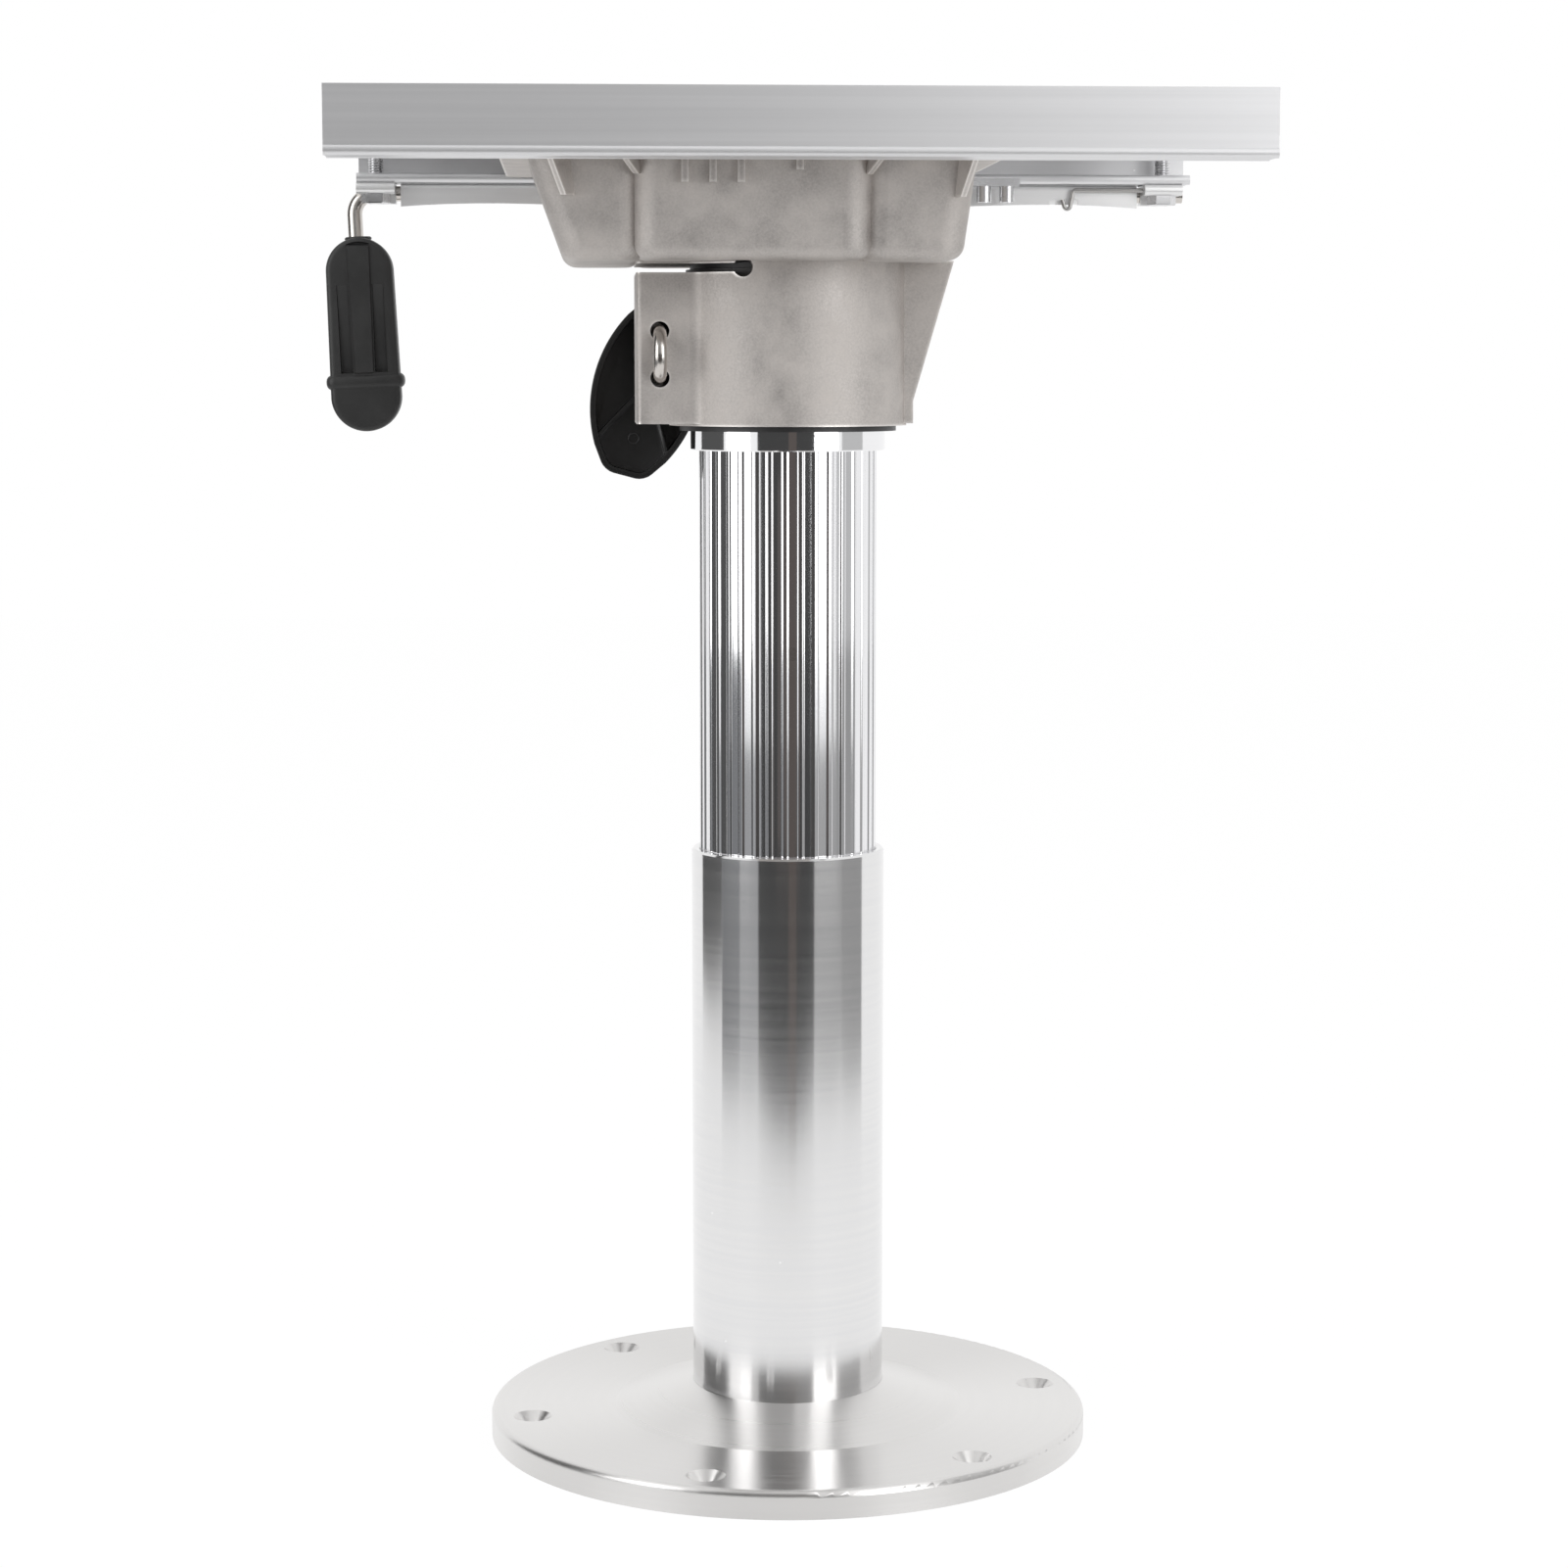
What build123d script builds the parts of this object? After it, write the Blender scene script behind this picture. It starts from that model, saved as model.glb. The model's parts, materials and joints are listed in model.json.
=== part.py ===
from build123d import *
from math import cos, radians, sin, tan
import os

# Boat seat pedestal: a round deck plate, a telescopic post, a clamping swivel bracket and a
# fore-and-aft seat slide. Millimetres, Z up, the deck plane at Z = 0 and the post on the Z axis.
# The slide runs along X and the front of the seat faces -X.

# Clearances
RUNNING_GAP = 0.06
SEAT_GAP = 0.02
CUT = 1.0

# Driving dimensions of the deck plate
PLATE_RADIUS = 114.3
PLATE_THICKNESS = 10.5
PLATE_EDGE_ROUND = 2.5
HUB_RADIUS = 67.0
HUB_RISE = 9.3
HUB_RECESS = 0.4
SOCKET_FLOOR = 4.0
DECK_HOLE_COUNT = 6
DECK_HOLE_EDGE = 14.55
DECK_HOLE_RADIUS = 3.6
DECK_SINK_RADIUS = 7.3
DECK_HOLE_START_ANGLE = 9.5

# Driving dimensions of the telescopic post
OUTER_TUBE_RADIUS = 36.515
OUTER_TUBE_TOP = 226.8
OUTER_TUBE_WALL = 3.15
RIM_CHAMFER = 0.8
RIB_COUNT = 36
RIB_WIDTH = 1.85
RIB_HEIGHT = 0.45
INNER_TUBE_WALL = 3.0
HEIGHT_TRAVEL = 150.0
TUBE_FLOOR_GAP = 1.5
FOOT_BUSH_HEIGHT = 14.0
FOOT_BUSH_WALL = 3.0
FOOT_BUSH_LIP = 1.0

# Driving dimensions of the swivel head
POST_TOP = 444.0
SLEEVE_WALL = 3.175
SLEEVE_LENGTH = 66.8
SLEEVE_CHAMFER = 0.5
BUSH_WALL = 1.6
BUSH_FLANGE_WIDTH = 2.44
BUSH_FLANGE_THICKNESS = 1.9
BUSH_FLANGE_GAP = 0.1
CAP_LID = 2.0
CAP_PLUG_DEPTH = 8.0
CAP_NECK_RADIUS = 14.0
CAP_NECK_RISE = 9.0
CAP_NECK_CHAMFER = 1.0
CAP_NECK_GAP = 1.0
HEAD_GAP = 0.2
THRUST_WASHER_THICKNESS = 2.0
RETAINER_THICKNESS = 1.4
RETAINER_RADIUS = 18.0
RETAINER_MOUTH = 6.0
RETAINER_GROOVE_DEPTH = 1.2
CROSS_PIN_DROP = 141.2
CROSS_PIN_RADIUS = 2.5

# Driving dimensions of the gas spring inside the post
GAS_ROD_RADIUS = 5.0
GAS_CYLINDER_RADIUS = 14.0
GAS_CYLINDER_WALL = 2.5
GAS_CYLINDER_LENGTH = 223.0
GAS_CYLINDER_DROP = 16.0
GAS_CYLINDER_CHAMFER = 1.5
GAS_END_THICKNESS = 12.0
PISTON_LENGTH = 14.0
PISTON_STANDOFF = 1.0
MOUNT_RING_HEIGHT = 16.0
ROD_NUT_FLATS = 17.0
ROD_NUT_HEIGHT = 8.0
RELEASE_PIN_RADIUS = 3.0
RELEASE_PIN_PROUD = 6.0

# Driving dimensions of the cast seat bracket
COLLAR_WALL = 6.32
COLLAR_HEIGHT = 59.7
PAN_DEPTH = 35.8
PAN_FLOOR_THICKNESS = 4.0
PAN_WALL = 4.0
PAN_FRONT_X = -83.0
PAN_FRONT_DRAFT = 13.0
PAN_FRONT_WAIST_X = -56.0
PAN_REAR_WAIST_X = 24.6
PAN_REAR_X = 60.0
PAN_REAR_DRAFT = 4.5
PAN_SIDE_STEP = 15.0
PAN_FRONT_PINCH = 6.0
PAN_REAR_PINCH = 4.0
PAN_SIDE_DRAFT = 7.0
PAN_LAP = 2.5
PAN_HOLLOW_LAP = 14.0
PAN_CORNER = 10.0
PAN_HOLLOW_CORNER = 6.0
PAN_BOTTOM_ROUND = 6.0
MOUTH_MARGIN = 6.0
FLANGE_THICKNESS = 4.0
FLANGE_CORNER = 8.0
SIDE_WALL_HEIGHT = 11.9
SIDE_WALL_THICKNESS = 4.0
SIDE_WALL_REACH = 79.0
SIDE_WALL_SETBACK = 2.0
BRACKET_FRONT = -106.0
BRACKET_REAR = 74.0
EAR_LENGTH = 12.5
EAR_HALF_WIDTH = 28.0
EAR_STEP = 0.8
EAR_CORNER = 2.0
EAR_BLEND = 6.0
EAR_SPLIT = 2.0
SLOT_WEB = 0.5
SLOT_HEIGHT = 3.2
SLOT_END = -18.5
SLOT_EYE_RADIUS = 3.5
GUSSET_HALF_WIDTH = 13.0
GUSSET_FOOT_REACH = 1.5
GUSSET_FOOT_HEIGHT = 9.1
GUSSET_HEAD_REACH = 1.0
PAN_RIB_WIDTH = 2.6
PAN_RIB_PROUD = 2.0
PAN_WEB_REACH = 5.0
PAN_RIBS = ((-40.4, 9.1), (-30.5, 9.1), (-20.5, 9.1), (0.2, 4.7))
PAN_WEB_THICKNESS = 2.2
PAN_WEBS = ((-83.2, -87.9, 13.4), (-57.6, -61.7, 6.0), (25.4, 28.9, 6.0), (58.6, 62.2, 13.8))

# Driving dimensions of the swivel clamp
CLAMP_SETBACK = 8.5
CLAMP_RISE = 26.2
CLAMP_LEG_SPACING = 17.0
CLAMP_ROD_RADIUS = 2.5
CLAMP_HOLE_RADIUS = 3.5
CLAMP_BEND_PROUD = 6.0
CLAMP_ROD_TAIL = 1.0
CLAMP_BAR_THICKNESS = 6.0
CLAMP_BAR_WIDTH = 14.0
CLAMP_BAR_CORNER = 5.0
CLAMP_BAR_OFFSET = 4.5
CLAMP_PAD_THICKNESS = 1.5
CLAMP_PAD_RADIUS = 4.8
CLAMP_SCREW_RADIUS = 4.0
CLAMP_SCREW_GAP = 0.1
CLAMP_NUT_FLATS = 8.0
CLAMP_NUT_HEIGHT = 4.0
HANDLE_STANDOFF = 1.8
HANDLE_HALF_LENGTH = 34.7
HANDLE_HALF_WIDTH = 21.0
HANDLE_END_HALF_WIDTH = 8.0
HANDLE_CORNER = 4.0
HANDLE_DEPTH = 13.0
HANDLE_ROUND = 3.0
HANDLE_WALL = 2.4
HANDLE_RIB = 1.6
HANDLE_RIB_ANGLES = (-38, 0, 38, 180)
HANDLE_RIB_SETBACK = 2.0
HANDLE_CROSS_RIB_X = 29.0
HANDLE_PIVOT_OFFSET = 13.4
HANDLE_LEAN = 15.0
HANDLE_HUB_RADIUS = 8.5
HANDLE_BORE_END = 4.0

# Driving dimensions of the seat slide
RAIL_LENGTH = 330.0
RAIL_DROP = 1.9
RAIL_WALL = 3.0
RAIL_FOOT = 3.8
RAIL_FOOT_STEP = 0.3
RAIL_LIP_GAP = 2.0
RAIL_BEAD_PROUD = 0.8
SLIDE_GAP = 0.5
GLIDE_DEPTH = 18.7
GLIDE_GAP = 0.3
GLIDE_LENGTH = 40.0
GLIDE_CORNER = 1.2
GLIDE_INSET = 22.0
GLIDE_SCREW_RADIUS = 2.5
GLIDE_SCREW_REACH = 11.5
GLIDE_SCREW_HEAD_FLATS = 9.0
GLIDE_SCREW_HEAD_HEIGHT = 3.5
SEAT_SLOT_SPACING_Y = 127.0
SEAT_SLOT_INSET = 12.6
SEAT_SLOT_WIDTH = 7.0
SEAT_SLOT_LENGTH = 18.0
SEAT_SLOT_EDGE = 9.5
STRAP_WIDTH = 25.0
STRAP_THICKNESS = 3.0
STRAP_CORNER = 3.0
STRAP_SETBACK = 1.0
STRAP_INSET = 40.5
STRAP_SCREW_EDGE = 6.0
STRAP_SCREW_PITCH = 12.0
STRAP_SCREW_RADIUS = 2.5
STRAP_SCREW_HEAD_RADIUS = 4.6

# Driving dimensions of the slide lock
END_BOLT_FRONT_INSET = 7.4
END_BOLT_REAR_INSET = 10.6
END_BOLT_LIP_GAP = 5.5
END_BOLT_RADIUS = 3.0
END_BOLT_TIP_GAP = 0.3
END_BOLT_HEAD_FLATS = 10.0
END_BOLT_HEAD_HEIGHT = 3.8
END_BLOCK_LENGTH = 15.0
END_BLOCK_THICKNESS = 4.2
END_BLOCK_HALF_WIDTH = 6.3
END_BLOCK_ROUND = 1.9
END_BLOCK_BARREL_WALL = 1.0
LOCK_ROD_RADIUS = 3.0
LOCK_ROD_INSET = 5.0
LOCK_ROD_DROP = 3.7
LOCK_ROD_REAR_INSET = 1.0
LOCK_ROD_BEND_RADIUS = 8.0
LOCK_LEG_REACH = 2.0
LOCK_LEG_LEAN = 2.4
LOCK_BAR_GAP = 2.1
LOCK_BAR_WIDTH = 7.5
LOCK_BAR_THICKNESS = 2.4
LOCK_BAR_WALL = 0.6
LOCK_BAR_BEAD = 1.9
LOCK_BAR_DROP = 5.3
LOCK_BAR_WAVE = 1.2
LOCK_BAR_WAVES = 3
LOCK_BAR_HOLE_INSET = 24.8
LOCK_BAR_HOLE_PITCH = 9.0
LOCK_BAR_HOLE_RADIUS = 1.4
LOCK_PIN_RADIUS = 2.9
LOCK_PIN_PITCH = 9.0
LOCK_PIN_COUNT = 14
LOCK_PIN_OVERHANG = 17.0
LOCK_PIN_INSET = 3.0
LOCK_PIN_LENGTH = 9.3
COMB_THICKNESS = 3.0
COMB_WIDTH = 6.0
COMB_MARGIN = 2.0
COMB_SCREW_RADIUS = 1.5
COMB_SCREW_HEAD = 1.0
COMB_SCREW_INSET = 0.6
COMB_SCREW_PITCH_COUNTS = (1.5, 9.5)
FINGER_CLEARANCE = 0.3
FINGER_THICKNESS = 2.4
FINGER_SIDE_GAP = 0.15
FINGER_ROOT_HALF = 8.0
FINGER_BITE = 0.6
FINGER_PITCH_COUNT = 4.5
SPRING_WIRE_RADIUS = 0.8
SPRING_STAND_OFF = 2.2
SPRING_BEND = 1.2
SPRING_HOOK_SETBACK = 35.4
SPRING_HOOK_WIDTH = 4.5
SPRING_HOOK_DROP = 11.0
GRIP_DROP = 17.4
GRIP_LENGTH = 76.5
GRIP_HEAD_RADIUS = 13.25
GRIP_TAIL_RADIUS = 13.9
GRIP_THICKNESS = 14.0
GRIP_ROUND = 2.2
GRIP_COLLAR_DROP = 55.0
GRIP_COLLAR_HEIGHT = 5.0
GRIP_COLLAR_PROUD = 1.4
GRIP_COLLAR_ROUND = 3.2
GRIP_PANEL_HALF = 4.5
GRIP_PANEL_PROUD = 0.6
GRIP_PANEL_TOP = 3.0
GRIP_POCKET_TOP = 19.0
GRIP_POCKET_HALF = 10.0
GRIP_POCKET_DEPTH = 1.3

# Radii that follow from the post outwards
DECK_HOLE_CIRCLE = PLATE_RADIUS - DECK_HOLE_EDGE
OUTER_TUBE_BORE = OUTER_TUBE_RADIUS - OUTER_TUBE_WALL
INNER_TUBE_RIB_RADIUS = OUTER_TUBE_BORE - RUNNING_GAP
INNER_TUBE_RADIUS = INNER_TUBE_RIB_RADIUS - RIB_HEIGHT
INNER_TUBE_BORE = INNER_TUBE_RADIUS - INNER_TUBE_WALL
SLEEVE_BORE = INNER_TUBE_RIB_RADIUS + SEAT_GAP
SLEEVE_RADIUS = SLEEVE_BORE + SLEEVE_WALL
BUSH_BORE = SLEEVE_RADIUS + RUNNING_GAP
BUSH_RADIUS = BUSH_BORE + BUSH_WALL
COLLAR_BORE = BUSH_RADIUS + SEAT_GAP
COLLAR_RADIUS = COLLAR_BORE + COLLAR_WALL
CAP_HOLE_RADIUS = CAP_NECK_RADIUS + CAP_NECK_GAP

# Heights that follow from the post upwards
HUB_TOP = PLATE_THICKNESS + HUB_RISE
INNER_TUBE_BOTTOM = SOCKET_FLOOR + TUBE_FLOOR_GAP + HEIGHT_TRAVEL
INNER_TUBE_TOP = POST_TOP - CAP_LID
CROSS_PIN_HEIGHT = POST_TOP - CROSS_PIN_DROP
GAS_CYLINDER_TOP = POST_TOP - GAS_CYLINDER_DROP
GAS_CYLINDER_BOTTOM = GAS_CYLINDER_TOP - GAS_CYLINDER_LENGTH
PISTON_BOTTOM = GAS_CYLINDER_BOTTOM + GAS_END_THICKNESS + PISTON_STANDOFF
PAN_FLOOR_BOTTOM = POST_TOP + HEAD_GAP + THRUST_WASHER_THICKNESS
PAN_FLOOR_TOP = PAN_FLOOR_BOTTOM + PAN_FLOOR_THICKNESS
CAP_NECK_TOP = PAN_FLOOR_TOP + CAP_NECK_RISE
COLLAR_BOTTOM = PAN_FLOOR_BOTTOM - COLLAR_HEIGHT
PAN_RIM = PAN_FLOOR_BOTTOM + PAN_DEPTH
FLANGE_TOP = PAN_RIM + FLANGE_THICKNESS
SIDE_WALL_TOP = FLANGE_TOP + SIDE_WALL_HEIGHT
STRAP_BOTTOM = SIDE_WALL_TOP + SLIDE_GAP
CHANNEL_TOP = STRAP_BOTTOM + STRAP_THICKNESS
RAIL_TOP = CHANNEL_TOP + RAIL_WALL
RAIL_BOTTOM = PAN_RIM - RAIL_DROP
CHANNEL_BOTTOM = RAIL_BOTTOM + RAIL_FOOT
GLIDE_MIDDLE_Z = (CHANNEL_BOTTOM + CHANNEL_TOP) / 2
LOCK_ROD_Z = RAIL_BOTTOM - LOCK_ROD_DROP
LOCK_PIN_BOTTOM = PAN_RIM - LOCK_PIN_LENGTH
FINGER_TOP = LOCK_PIN_BOTTOM - FINGER_CLEARANCE
GRIP_TOP = LOCK_ROD_Z - GRIP_DROP
GRIP_LEG_END = GRIP_TOP - GRIP_COLLAR_DROP

# Places that follow along X and Y
EAR_FRONT = -COLLAR_RADIUS - EAR_LENGTH
CLAMP_X = EAR_FRONT + CLAMP_SETBACK
CLAMP_Z = COLLAR_BOTTOM + CLAMP_RISE
CLAMP_LEG_HEIGHTS = (CLAMP_Z - CLAMP_LEG_SPACING / 2, CLAMP_Z + CLAMP_LEG_SPACING / 2)
CLAMP_BAR_Y = EAR_HALF_WIDTH + CLAMP_BAR_OFFSET
CLAMP_NUT_Y = CLAMP_BAR_Y + CLAMP_BAR_THICKNESS
HANDLE_Y = CLAMP_NUT_Y + CLAMP_NUT_HEIGHT + HANDLE_STANDOFF
SIDE_WALL_INNER = SIDE_WALL_REACH - SIDE_WALL_THICKNESS
PAN_HALF_WIDTH = SIDE_WALL_REACH - PAN_SIDE_STEP
CHANNEL_BACK = SIDE_WALL_REACH + GLIDE_DEPTH + GLIDE_GAP
RAIL_REACH = CHANNEL_BACK + RAIL_WALL
RAIL_LIP = SIDE_WALL_REACH + RAIL_LIP_GAP
RAIL_TOP_INNER = SEAT_SLOT_SPACING_Y / 2 - SEAT_SLOT_EDGE
RAIL_HALF = RAIL_LENGTH / 2
STRAP_X = RAIL_HALF - STRAP_INSET
SEAT_SLOT_X = RAIL_HALF - SEAT_SLOT_INSET
GLIDE_FRONT_X = BRACKET_FRONT + GLIDE_INSET
GLIDE_REAR_X = BRACKET_REAR - GLIDE_INSET
END_BOLT_FRONT_X = -RAIL_HALF + END_BOLT_FRONT_INSET
END_BOLT_REAR_X = RAIL_HALF - END_BOLT_REAR_INSET
END_BOLT_Y = RAIL_LIP + END_BOLT_LIP_GAP
LOCK_ROD_Y = RAIL_REACH - LOCK_ROD_INSET
LOCK_ROD_REAR_X = RAIL_HALF - LOCK_ROD_REAR_INSET
LOCK_LEG_X = -RAIL_HALF - LOCK_LEG_REACH
LOCK_BAR_FRONT_X = END_BOLT_FRONT_X + END_BLOCK_LENGTH / 2 + LOCK_BAR_GAP
LOCK_BAR_REAR_X = END_BOLT_REAR_X - END_BLOCK_LENGTH / 2 - LOCK_BAR_GAP
LOCK_BAR_FACE_Y = LOCK_ROD_Y - LOCK_BAR_WIDTH
LOCK_BAR_HOLE_X = LOCK_BAR_REAR_X - LOCK_BAR_HOLE_INSET
SPRING_HOOK_X = END_BOLT_REAR_X - SPRING_HOOK_SETBACK
LOCK_PIN_Y = SIDE_WALL_REACH - LOCK_PIN_INSET
LOCK_PIN_LAST_X = BRACKET_REAR + LOCK_PIN_OVERHANG
LOCK_PIN_FIRST_X = LOCK_PIN_LAST_X - (LOCK_PIN_COUNT - 1) * LOCK_PIN_PITCH
COMB_FRONT_X = LOCK_PIN_FIRST_X - LOCK_PIN_RADIUS - COMB_MARGIN
FINGER_X = LOCK_PIN_LAST_X - FINGER_PITCH_COUNT * LOCK_PIN_PITCH
COMB_SCREW_XS = [LOCK_PIN_FIRST_X + pitches * LOCK_PIN_PITCH for pitches in COMB_SCREW_PITCH_COUNTS]


def rod(radius, low, high, x=0.0, y=0.0):
    """Upright cylinder between two heights."""
    return Pos(x, y, (low + high) / 2) * Cylinder(radius, high - low)


def rod_x(radius, low, high, y, z):
    """Cylinder along X."""
    return Pos((low + high) / 2, y, z) * Rot(0, 90, 0) * Cylinder(radius, high - low)


def rod_y(radius, low, high, x, z):
    """Cylinder along Y."""
    return Pos(x, (low + high) / 2, z) * Rot(90, 0, 0) * Cylinder(radius, high - low)


def block(x_range, y_range, z_range):
    """Box given by its limits."""
    size = [high - low for low, high in (x_range, y_range, z_range)]
    middle = [(high + low) / 2 for low, high in (x_range, y_range, z_range)]
    return Pos(*middle) * Box(*size)


def ring(outer, inner, low, high):
    """Upright tube between two heights."""
    return rod(outer, low, high) - rod(inner, low - CUT, high + CUT)


def hexagon(flats, low, high, x=0.0, y=0.0):
    """Upright hexagonal prism, measured across its flats."""
    outline = RegularPolygon(flats / 2, 6, major_radius=False)
    return Pos(x, y, low) * extrude(outline, high - low)


def turned(points):
    """Solid of revolution about Z from a closed outline of radius and height pairs."""
    outline = make_face(Polyline(*[(r, 0, z) for r, z in points], close=True))
    return revolve(outline, Axis.Z)


def both_sides(shape):
    """A shape and its mirror image across the centre plane."""
    return [shape, mirror(shape, Plane.XZ)]


# Deck plate and outer tube


def base_plate():
    """Turned deck plate with a coned hub, a socket for the tube and countersunk deck holes."""
    body = turned([
        (0, 0),
        (PLATE_RADIUS, 0),
        (PLATE_RADIUS, PLATE_THICKNESS),
        (HUB_RADIUS, PLATE_THICKNESS),
        (OUTER_TUBE_RADIUS + HUB_RECESS, HUB_TOP),
        (0, HUB_TOP),
    ])
    rim = body.edges().filter_by(lambda e: e.geom_type == GeomType.CIRCLE and e.radius > HUB_RADIUS + CUT)
    body = fillet(rim.sort_by(Axis.Z)[-1], PLATE_EDGE_ROUND)
    body -= rod(OUTER_TUBE_RADIUS + SEAT_GAP, SOCKET_FLOOR, HUB_TOP + CUT)
    for k in range(DECK_HOLE_COUNT):
        angle = DECK_HOLE_START_ANGLE + 360 / DECK_HOLE_COUNT * k
        body -= Rot(0, 0, angle) * Pos(DECK_HOLE_CIRCLE, 0, 0) * deck_hole()
    return body


def deck_hole():
    """Countersunk hole through the deck plate, on the Z axis."""
    depth = DECK_SINK_RADIUS - DECK_HOLE_RADIUS
    sink = Pos(0, 0, PLATE_THICKNESS - depth / 2) * Cone(DECK_HOLE_RADIUS, DECK_SINK_RADIUS, depth)
    return rod(DECK_HOLE_RADIUS, -CUT, PLATE_THICKNESS + CUT) + sink


def lower_tube():
    """Outer tube of the post, seated in the deck plate, with a chamfered rim."""
    return turned([
        (OUTER_TUBE_BORE, SOCKET_FLOOR),
        (OUTER_TUBE_RADIUS, SOCKET_FLOOR),
        (OUTER_TUBE_RADIUS, OUTER_TUBE_TOP - RIM_CHAMFER),
        (OUTER_TUBE_RADIUS - RIM_CHAMFER, OUTER_TUBE_TOP),
        (OUTER_TUBE_BORE + RIM_CHAMFER, OUTER_TUBE_TOP),
        (OUTER_TUBE_BORE, OUTER_TUBE_TOP - RIM_CHAMFER),
    ])


# Inner tube, swivel head and gas spring


def ribbed_tube():
    """Extruded inner tube with raised ribs along its length and a cross hole for its pin."""
    rib = Pos(INNER_TUBE_RIB_RADIUS - RIB_WIDTH, 0) * Rectangle(2 * RIB_WIDTH, RIB_WIDTH)
    ribs = [Rot(0, 0, 360 / RIB_COUNT * (k + 0.5)) * rib for k in range(RIB_COUNT)]
    section = (Circle(INNER_TUBE_RADIUS) + ribs) & Circle(INNER_TUBE_RIB_RADIUS)
    section -= Circle(INNER_TUBE_BORE)
    body = Pos(0, 0, INNER_TUBE_BOTTOM) * extrude(section, INNER_TUBE_TOP - INNER_TUBE_BOTTOM)
    return body - cross_rod(CROSS_PIN_RADIUS + SEAT_GAP, INNER_TUBE_RIB_RADIUS + CUT)


def foot_bush():
    """Nylon guide pressed into the foot of the inner tube, with a flange that runs in the outer one."""
    spigot = INNER_TUBE_BORE - SEAT_GAP
    flange_bottom = INNER_TUBE_BOTTOM - FOOT_BUSH_LIP
    return turned([
        (spigot - FOOT_BUSH_WALL, flange_bottom),
        (INNER_TUBE_RIB_RADIUS, flange_bottom),
        (INNER_TUBE_RIB_RADIUS, INNER_TUBE_BOTTOM),
        (spigot, INNER_TUBE_BOTTOM),
        (spigot, INNER_TUBE_BOTTOM + FOOT_BUSH_HEIGHT),
        (spigot - FOOT_BUSH_WALL, INNER_TUBE_BOTTOM + FOOT_BUSH_HEIGHT),
    ])


def top_sleeve():
    """Polished bearing sleeve on the head of the inner tube."""
    bottom = POST_TOP - SLEEVE_LENGTH
    return turned([
        (SLEEVE_BORE, bottom),
        (SLEEVE_RADIUS - SLEEVE_CHAMFER, bottom),
        (SLEEVE_RADIUS, bottom + SLEEVE_CHAMFER),
        (SLEEVE_RADIUS, POST_TOP),
        (SLEEVE_BORE, POST_TOP),
    ])


def post_cap():
    """Plug in the head of the inner tube, with a neck that carries the retaining ring."""
    plug = INNER_TUBE_BORE - SEAT_GAP
    lid = SLEEVE_BORE - SEAT_GAP
    pin_hole = RELEASE_PIN_RADIUS + RUNNING_GAP
    groove_low = PAN_FLOOR_TOP + RUNNING_GAP
    groove_high = groove_low + RETAINER_THICKNESS + 2 * SEAT_GAP
    groove_radius = CAP_NECK_RADIUS - RETAINER_GROOVE_DEPTH
    return turned([
        (pin_hole, INNER_TUBE_TOP - CAP_PLUG_DEPTH),
        (plug, INNER_TUBE_TOP - CAP_PLUG_DEPTH),
        (plug, INNER_TUBE_TOP),
        (lid, INNER_TUBE_TOP),
        (lid, POST_TOP),
        (CAP_NECK_RADIUS, POST_TOP),
        (CAP_NECK_RADIUS, groove_low),
        (groove_radius, groove_low),
        (groove_radius, groove_high),
        (CAP_NECK_RADIUS, groove_high),
        (CAP_NECK_RADIUS, CAP_NECK_TOP - CAP_NECK_CHAMFER),
        (CAP_NECK_RADIUS - CAP_NECK_CHAMFER, CAP_NECK_TOP),
        (pin_hole, CAP_NECK_TOP),
    ])


def retaining_ring():
    """External circlip that keeps the bracket on the post."""
    low = PAN_FLOOR_TOP + RUNNING_GAP + SEAT_GAP
    high = low + RETAINER_THICKNESS
    inner = CAP_NECK_RADIUS - RETAINER_GROOVE_DEPTH + SEAT_GAP
    mouth_half = RETAINER_MOUTH / 2
    mouth = block((0, RETAINER_RADIUS + CUT), (-mouth_half, mouth_half), (low - CUT, high + CUT))
    return ring(RETAINER_RADIUS, inner, low, high) - mouth


def cross_rod(radius, reach):
    """Rod through the inner tube along Y at the height of its cross pin."""
    return rod_y(radius, -reach, reach, 0, CROSS_PIN_HEIGHT)


def cross_pins():
    """The two halves of the cross pin, one each side of the gas spring."""
    low = CROSS_PIN_HEIGHT - 2 * CROSS_PIN_RADIUS
    high = CROSS_PIN_HEIGHT + 2 * CROSS_PIN_RADIUS
    return cross_rod(CROSS_PIN_RADIUS, INNER_TUBE_RADIUS) - rod(GAS_CYLINDER_RADIUS + SEAT_GAP, low, high)


def mount_ring():
    """Ring that centres the gas spring in the inner tube, held by the cross pin."""
    low = CROSS_PIN_HEIGHT - MOUNT_RING_HEIGHT / 2
    body = ring(INNER_TUBE_BORE - SEAT_GAP, GAS_CYLINDER_RADIUS + SEAT_GAP, low, low + MOUNT_RING_HEIGHT)
    return body - cross_rod(CROSS_PIN_RADIUS + SEAT_GAP, INNER_TUBE_RADIUS)


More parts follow.
